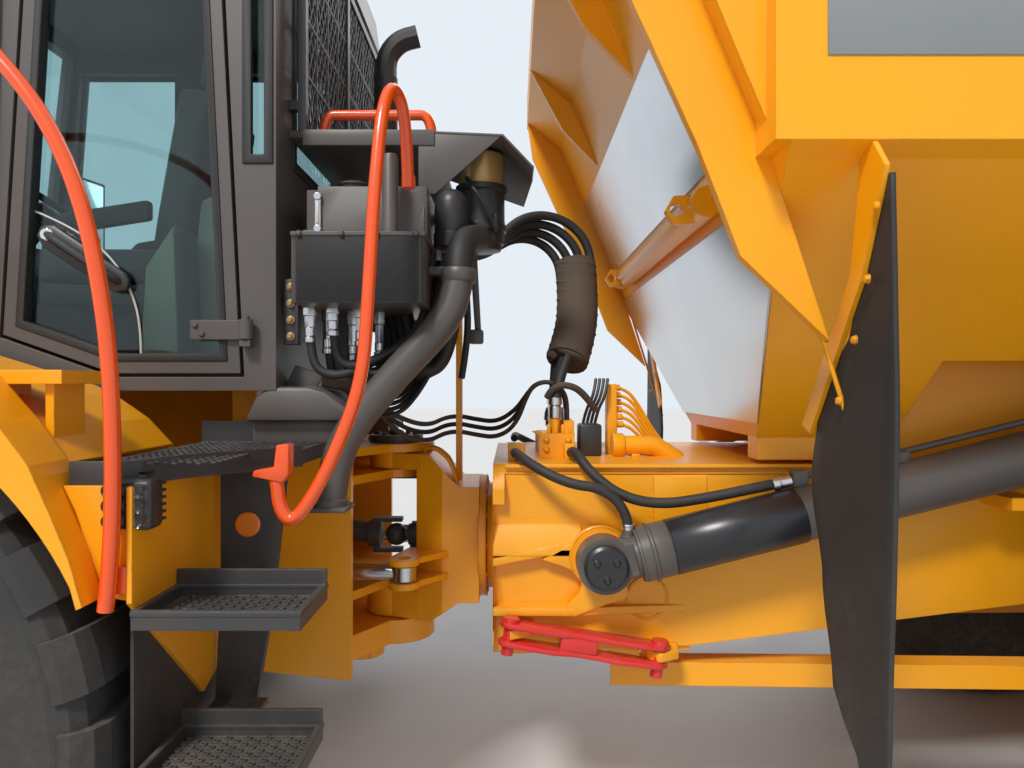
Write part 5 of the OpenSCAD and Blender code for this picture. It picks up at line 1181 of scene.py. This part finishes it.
def cab_inside():
    """Seat, wheel, consoles and lining behind the cab's panes."""
    back, floor = PIN + 0.86, CAB_FLOOR
    seat = cushion(*rel([(-0.06, -0.24, 0.34), (0.44, 0.24, 0.46)], back, floor), 0.14,
        ((1, -0.55), (1, 0.55), (0, 0.2)))
    fitted(seat, "seat_cushion", CLOTH, smooth=60)
    rest = cushion((-0.06, -0.24, 0), (0.07, 0.24, 0.62), 0.12, ((2, 0.0),))
    rest.matrix_world = tilted((back - 0.06, 0, floor + 0.44), -10)
    fitted(rest, "seat_back", CLOTH, smooth=60)
    head = cushion((-0.05, -0.13, 0), (0.05, 0.13, 0.2), 0.14)
    head.matrix_world = tilted((back - 0.17, 0, floor + 1.1), -10)
    fitted(head, "seat_head", CLOTH, smooth=60)
    frame_parts = [block(*rel([(0, -0.2, 0.0003), (0.36, 0.2, 0.06)], back, floor), 0.01),
        block(*rel([(0.06, -0.15, 0.06), (0.3, 0.15, 0.25)], back, floor), 0.03),
        block(*rel([(-0.03, -0.23, 0.25), (0.42, 0.23, 0.33)], back, floor), 0.015),
        cut_plate(rel([(1.48, 0), (1.782, 0), (1.782, 0.48), (1.74, 0.52), (1.62, 0.56), (1.5, 0.42)],
        z=floor), -0.62, 0.62, edge=0.02), bar((PIN + 1.56, 0, floor + 0.42),
        (PIN + 1.39, 0, floor + 0.64), 0.035, 0.004, 24)]
    for y in (-0.29, 0.26):
        frame_parts.append(cut_plate(rel([(-0.02, 0.55), (0.3, 0.5), (0.33, 0.54), (0.3, 0.57),
            (-0.02, 0.62)], back, floor), y, y + 0.05, edge=0.012))
    inside = fitted(frame_parts, "cab_fittings", TRIM)
    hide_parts("cab_interior")
    bpy.ops.mesh.primitive_torus_add(major_radius=0.195, minor_radius=0.015,
        major_segments=48, minor_segments=12)
    rim = bpy.context.object
    spokes = [bar((0.19 * cos(a), 0.19 * sin(a), 0), (0.04 * cos(a), 0.04 * sin(a), -0.015), 0.012,
        0.002, 10) for a in (0.5, 2.64, -1.57)]
    hub = upright([(0, 0.05), (0.6, 0.055), (1, 0.04)], 0, 0, -0.03, 0.012, 24)
    wheel = joined([rim, *spokes, hub])
    wheel.matrix_world = tilted((PIN + 1.384, 0, floor + 0.648), -38)
    fitted(wheel, "steering_wheel", PLASTIC, smooth=50)
    console = [cut_plate(rel([(-0.16, 0), (0.44, 0), (0.5, 0.42), (0.44, 0.52), (-0.1, 0.5)], back,
        floor), -0.56, -0.33, edge=0.02),
        cut_plate(rel([(-0.22, 0), (-0.08, 0), (-0.1, 0.35), (-0.2, 0.5)], back, floor), 0.3, 0.5,
        edge=0.02), cut_plate(rel([(-0.3, 0.02), (-0.14, 0.02), (-0.2, 0.62), (-0.3, 0.66)], back,
        floor), -0.3, 0.3, edge=0.02)]
    fitted(console, "side_console", CONSOLE)
    lining = [pin_block((0.306, -0.67, 1.641), (0.32, 0.67, 2.26), 0.006),
        pin_block((0.32, -0.678, 1.641), (1.75, -0.664, 1.98), 0.006), pin_block((0.31, -0.66, 3.2),
        (1.6, 0.66, 3.249), 0.02), pin_block((0.34, -0.66, 1.6405), (1.45, 0.66, 1.648), 0.003)]
    fitted(lining, "cab_lining", TRIM)


cab_inside()


# Bed

FLAP_TOP, FLAP_FOOT = 2.045, 0.46
FLAP_INNER = [(2.05, 1.36), (1.9, 1.305), (1.75, 1.225), (1.55, 1.03), (1.35, 0.985), (1.1, 1.06),
    (0.87, 1.12), (0.7, 1.275), (0.45, 1.37)]
FLAP_OUTER = [(2.05, 1.4), (1.8, 1.404), (1.5, 1.412), (1.2, 1.41), (0.9, 1.402),
    (0.65, 1.39), (0.45, 1.38)]


def edge_at(line, z):
    """Where a flap's edge is at a height, eased between the points of its line."""
    for (za, ya), (zb, yb) in zip(line, line[1:]):
        if za >= z >= zb:
            share = (za - z) / (za - zb)
            share = share * share * (3 - 2 * share)
            return ya + (yb - ya) * share
    return line[-1][1]


def bed_details():
    """The bed's side band, weld beads and rubber flaps."""
    band = block((-2.15, 1.3502, 2.311), (-0.007, 1.3532, 2.64), 0.0012, 2)
    fitted(band, "bed_side_band", BLANK, "dump_bed", both=True)
    edges = [[(0.07, 2.13), (0.4, 2.9)], [(-0.15, 1.42), (0.07, 2.13)]]
    beads = [bar((xa - 0.012, 1.168, za), (xb - 0.012, 1.168, zb), 0.006, 0.001, 8)
        for (xa, za), (xb, zb) in edges]
    fitted(beads, "bed_weld_beads", YELLOW, "dump_bed", both=True)
    bpy.ops.mesh.primitive_grid_add(x_subdivisions=8, y_subdivisions=28, size=1)
    flap = bpy.context.object
    for vertex in flap.data.vertices:
        u, v = vertex.co.x + 0.5, vertex.co.y + 0.5
        z = FLAP_FOOT + v * (FLAP_TOP - FLAP_FOOT)
        a, b = edge_at(FLAP_INNER, z), edge_at(FLAP_OUTER, z)
        wave = 0.007 * sin(5 * v + 0.4) * (0.35 + 0.65 * u) * (1 - v ** 3)
        vertex.co = (-0.124 + wave, a + (b - a) * u, z)
    apply_modifier(flap, "SOLIDIFY", thickness=0.011, offset=0)
    soften(flap, 0.002, 1)
    fitted(mirrored(flap), "bed_flap_sheets", RUBBER, "dump_bed", smooth=50)
    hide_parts("bed_flaps")
    heads = [(-0.105, y, z) for y, z in ((1.37, 1.98), (1.33, 1.83), (1.27, 1.7), (1.19, 1.56))]
    fitted(bolts(0.011, heads, (1, 0, 0)), "flap_bolts", YELLOW, "dump_bed", both=True)


def wheel_details():
    """Nuts, hub cover and valve stem of each wheel."""
    for axle, x in AXLES.items():
        for side, y in (("l", 1), ("r", -1)):
            way = (0, y, 0)
            middle = Vector((x, y * HALF_TRACK, TYRE_R))
            nuts = bolts(0.017, circle_of(14, 0.27, middle + Vector((0, y * 0.0605, 0)), way), way)
            cover = bolts(0.012, circle_of(10, 0.128, middle + Vector((0, y * 0.2465, 0)), way, 0.2),
                way)
            plug = stud(0.05, 0.042, 0.6, middle + Vector((0, y * 0.277, 0)),
                middle + Vector((0, y * 0.292, 0)), 24)
            rim = turned([(0, 0.197), (0.2, 0.2), (0.8, 0.2), (1, 0.196)],
                middle + Vector((0, y * 0.0715, 0)), middle + Vector((0, y * 0.092, 0)), 48)
            fitted([nuts, cover, plug, rim], "wheel_nuts_" + axle + side, YELLOW,
                "wheel_" + axle + side)
            stem = pipe([middle + Vector((0, y * 0.055, 0.31)), middle + Vector((0, y * 0.1, 0.315)),
                middle + Vector((0, y * 0.13, 0.34)), middle + Vector((0, y * 0.14, 0.37))], 0.006, 10)
            fitted(stem, "valve_stem_" + axle + side, BRIGHT, "wheel_" + axle + side)


def mirror_glasses():
    """A pane for each mirror; the right one is the left one's likeness."""
    for side in ("left", "right"):
        glass = block((-0.0375, -0.115, -0.225), (-0.0352, 0.115, 0.225), 0.0008, 2)
        glass.matrix_world = tilted((PIN + 1.894, 1.1, 2.48), 12, "Z")
        settle(glass)
        if side == "right":
            glass.data.transform(Matrix.Diagonal((1, -1, 1, 1)))
            glass.data.flip_normals()
        fitted(glass, "mirror_glass_" + side, CHROME)


def front_wiper():
    """The wiper on the windscreen."""
    wiper = [bar((PIN + 1.852, 0.1, 1.95), (PIN + 1.862, -0.32, 2.62), 0.008, 0.001, 10),
        bar((PIN + 1.858, -0.32, 2.25), (PIN + 1.862, -0.32, 2.95), 0.007, 0.001, 10)]
    hub = turned([(0, 0.022), (1, 0.018)], (PIN + 1.844, 0.1, 1.95), (PIN + 1.864, 0.1, 1.95), 20)
    fitted([*wiper, hub], "front_wiper", PLASTIC)


def front_details():
    """Lamps, radiator core, louvres and the hood's seam."""
    lamps, bezels = [], []
    for y in (0.69, 0.83):
        lamps.append(turned([(0, 0.041), (0.6, 0.041), (0.9, 0.03), (1, 0.01)], (PIN + 3.9303, y, 0.91),
            (PIN + 3.944, y, 0.91), 32))
        bezels.append(turned([(0, 0.049), (0.8, 0.049), (1, 0.045), (0.9, 0.041), (0.1, 0.041)],
            (PIN + 3.925, y, 0.91), (PIN + 3.948, y, 0.91), 32))
    fitted(lamps, "head_lamp_lenses", LENS, both=True)
    bars = [pin_block((3.944, 0.64, z), (3.952, 0.88, z + 0.006), 0.001, 1) for z in (0.875, 0.939)]
    fitted([*bezels, *bars], "head_lamp_bezels", PLASTIC, both=True)
    core = pin_block((3.895, -0.54, 1.17), (3.912, 0.54, 1.63), 0.003)
    fins = [pin_block((3.912, y, 1.19), (3.916, y + 0.006, 1.61), 0.0005, 1)
        for y in [-0.52 + 0.04 * k for k in range(27)]]
    fitted([core, *fins], "radiator_core", DARK, "hood")
    louvres = [cut_plate(rectangle(PIN + x, PIN + x + 0.03, 1.45, 1.75), 0.7602, 0.768, edge=0.003)
        for x in [2.45 + 0.07 * k for k in range(9)]]
    latch = pin_block((2.02, 0.7602, 1.5), (2.06, 0.778, 1.62), 0.006, 3)
    fitted([*louvres, latch], "hood_louvres", DARK, "hood", both=True)
    seam = pin_block((1.98, 0.7598, 1.302), (1.986, 0.7612, 1.98), 0.0004, 1)
    fitted(seam, "hood_seam", RUBBER, "hood", both=True)


bed_details()
front_details()
wheel_details()
mirror_glasses()
front_wiper()
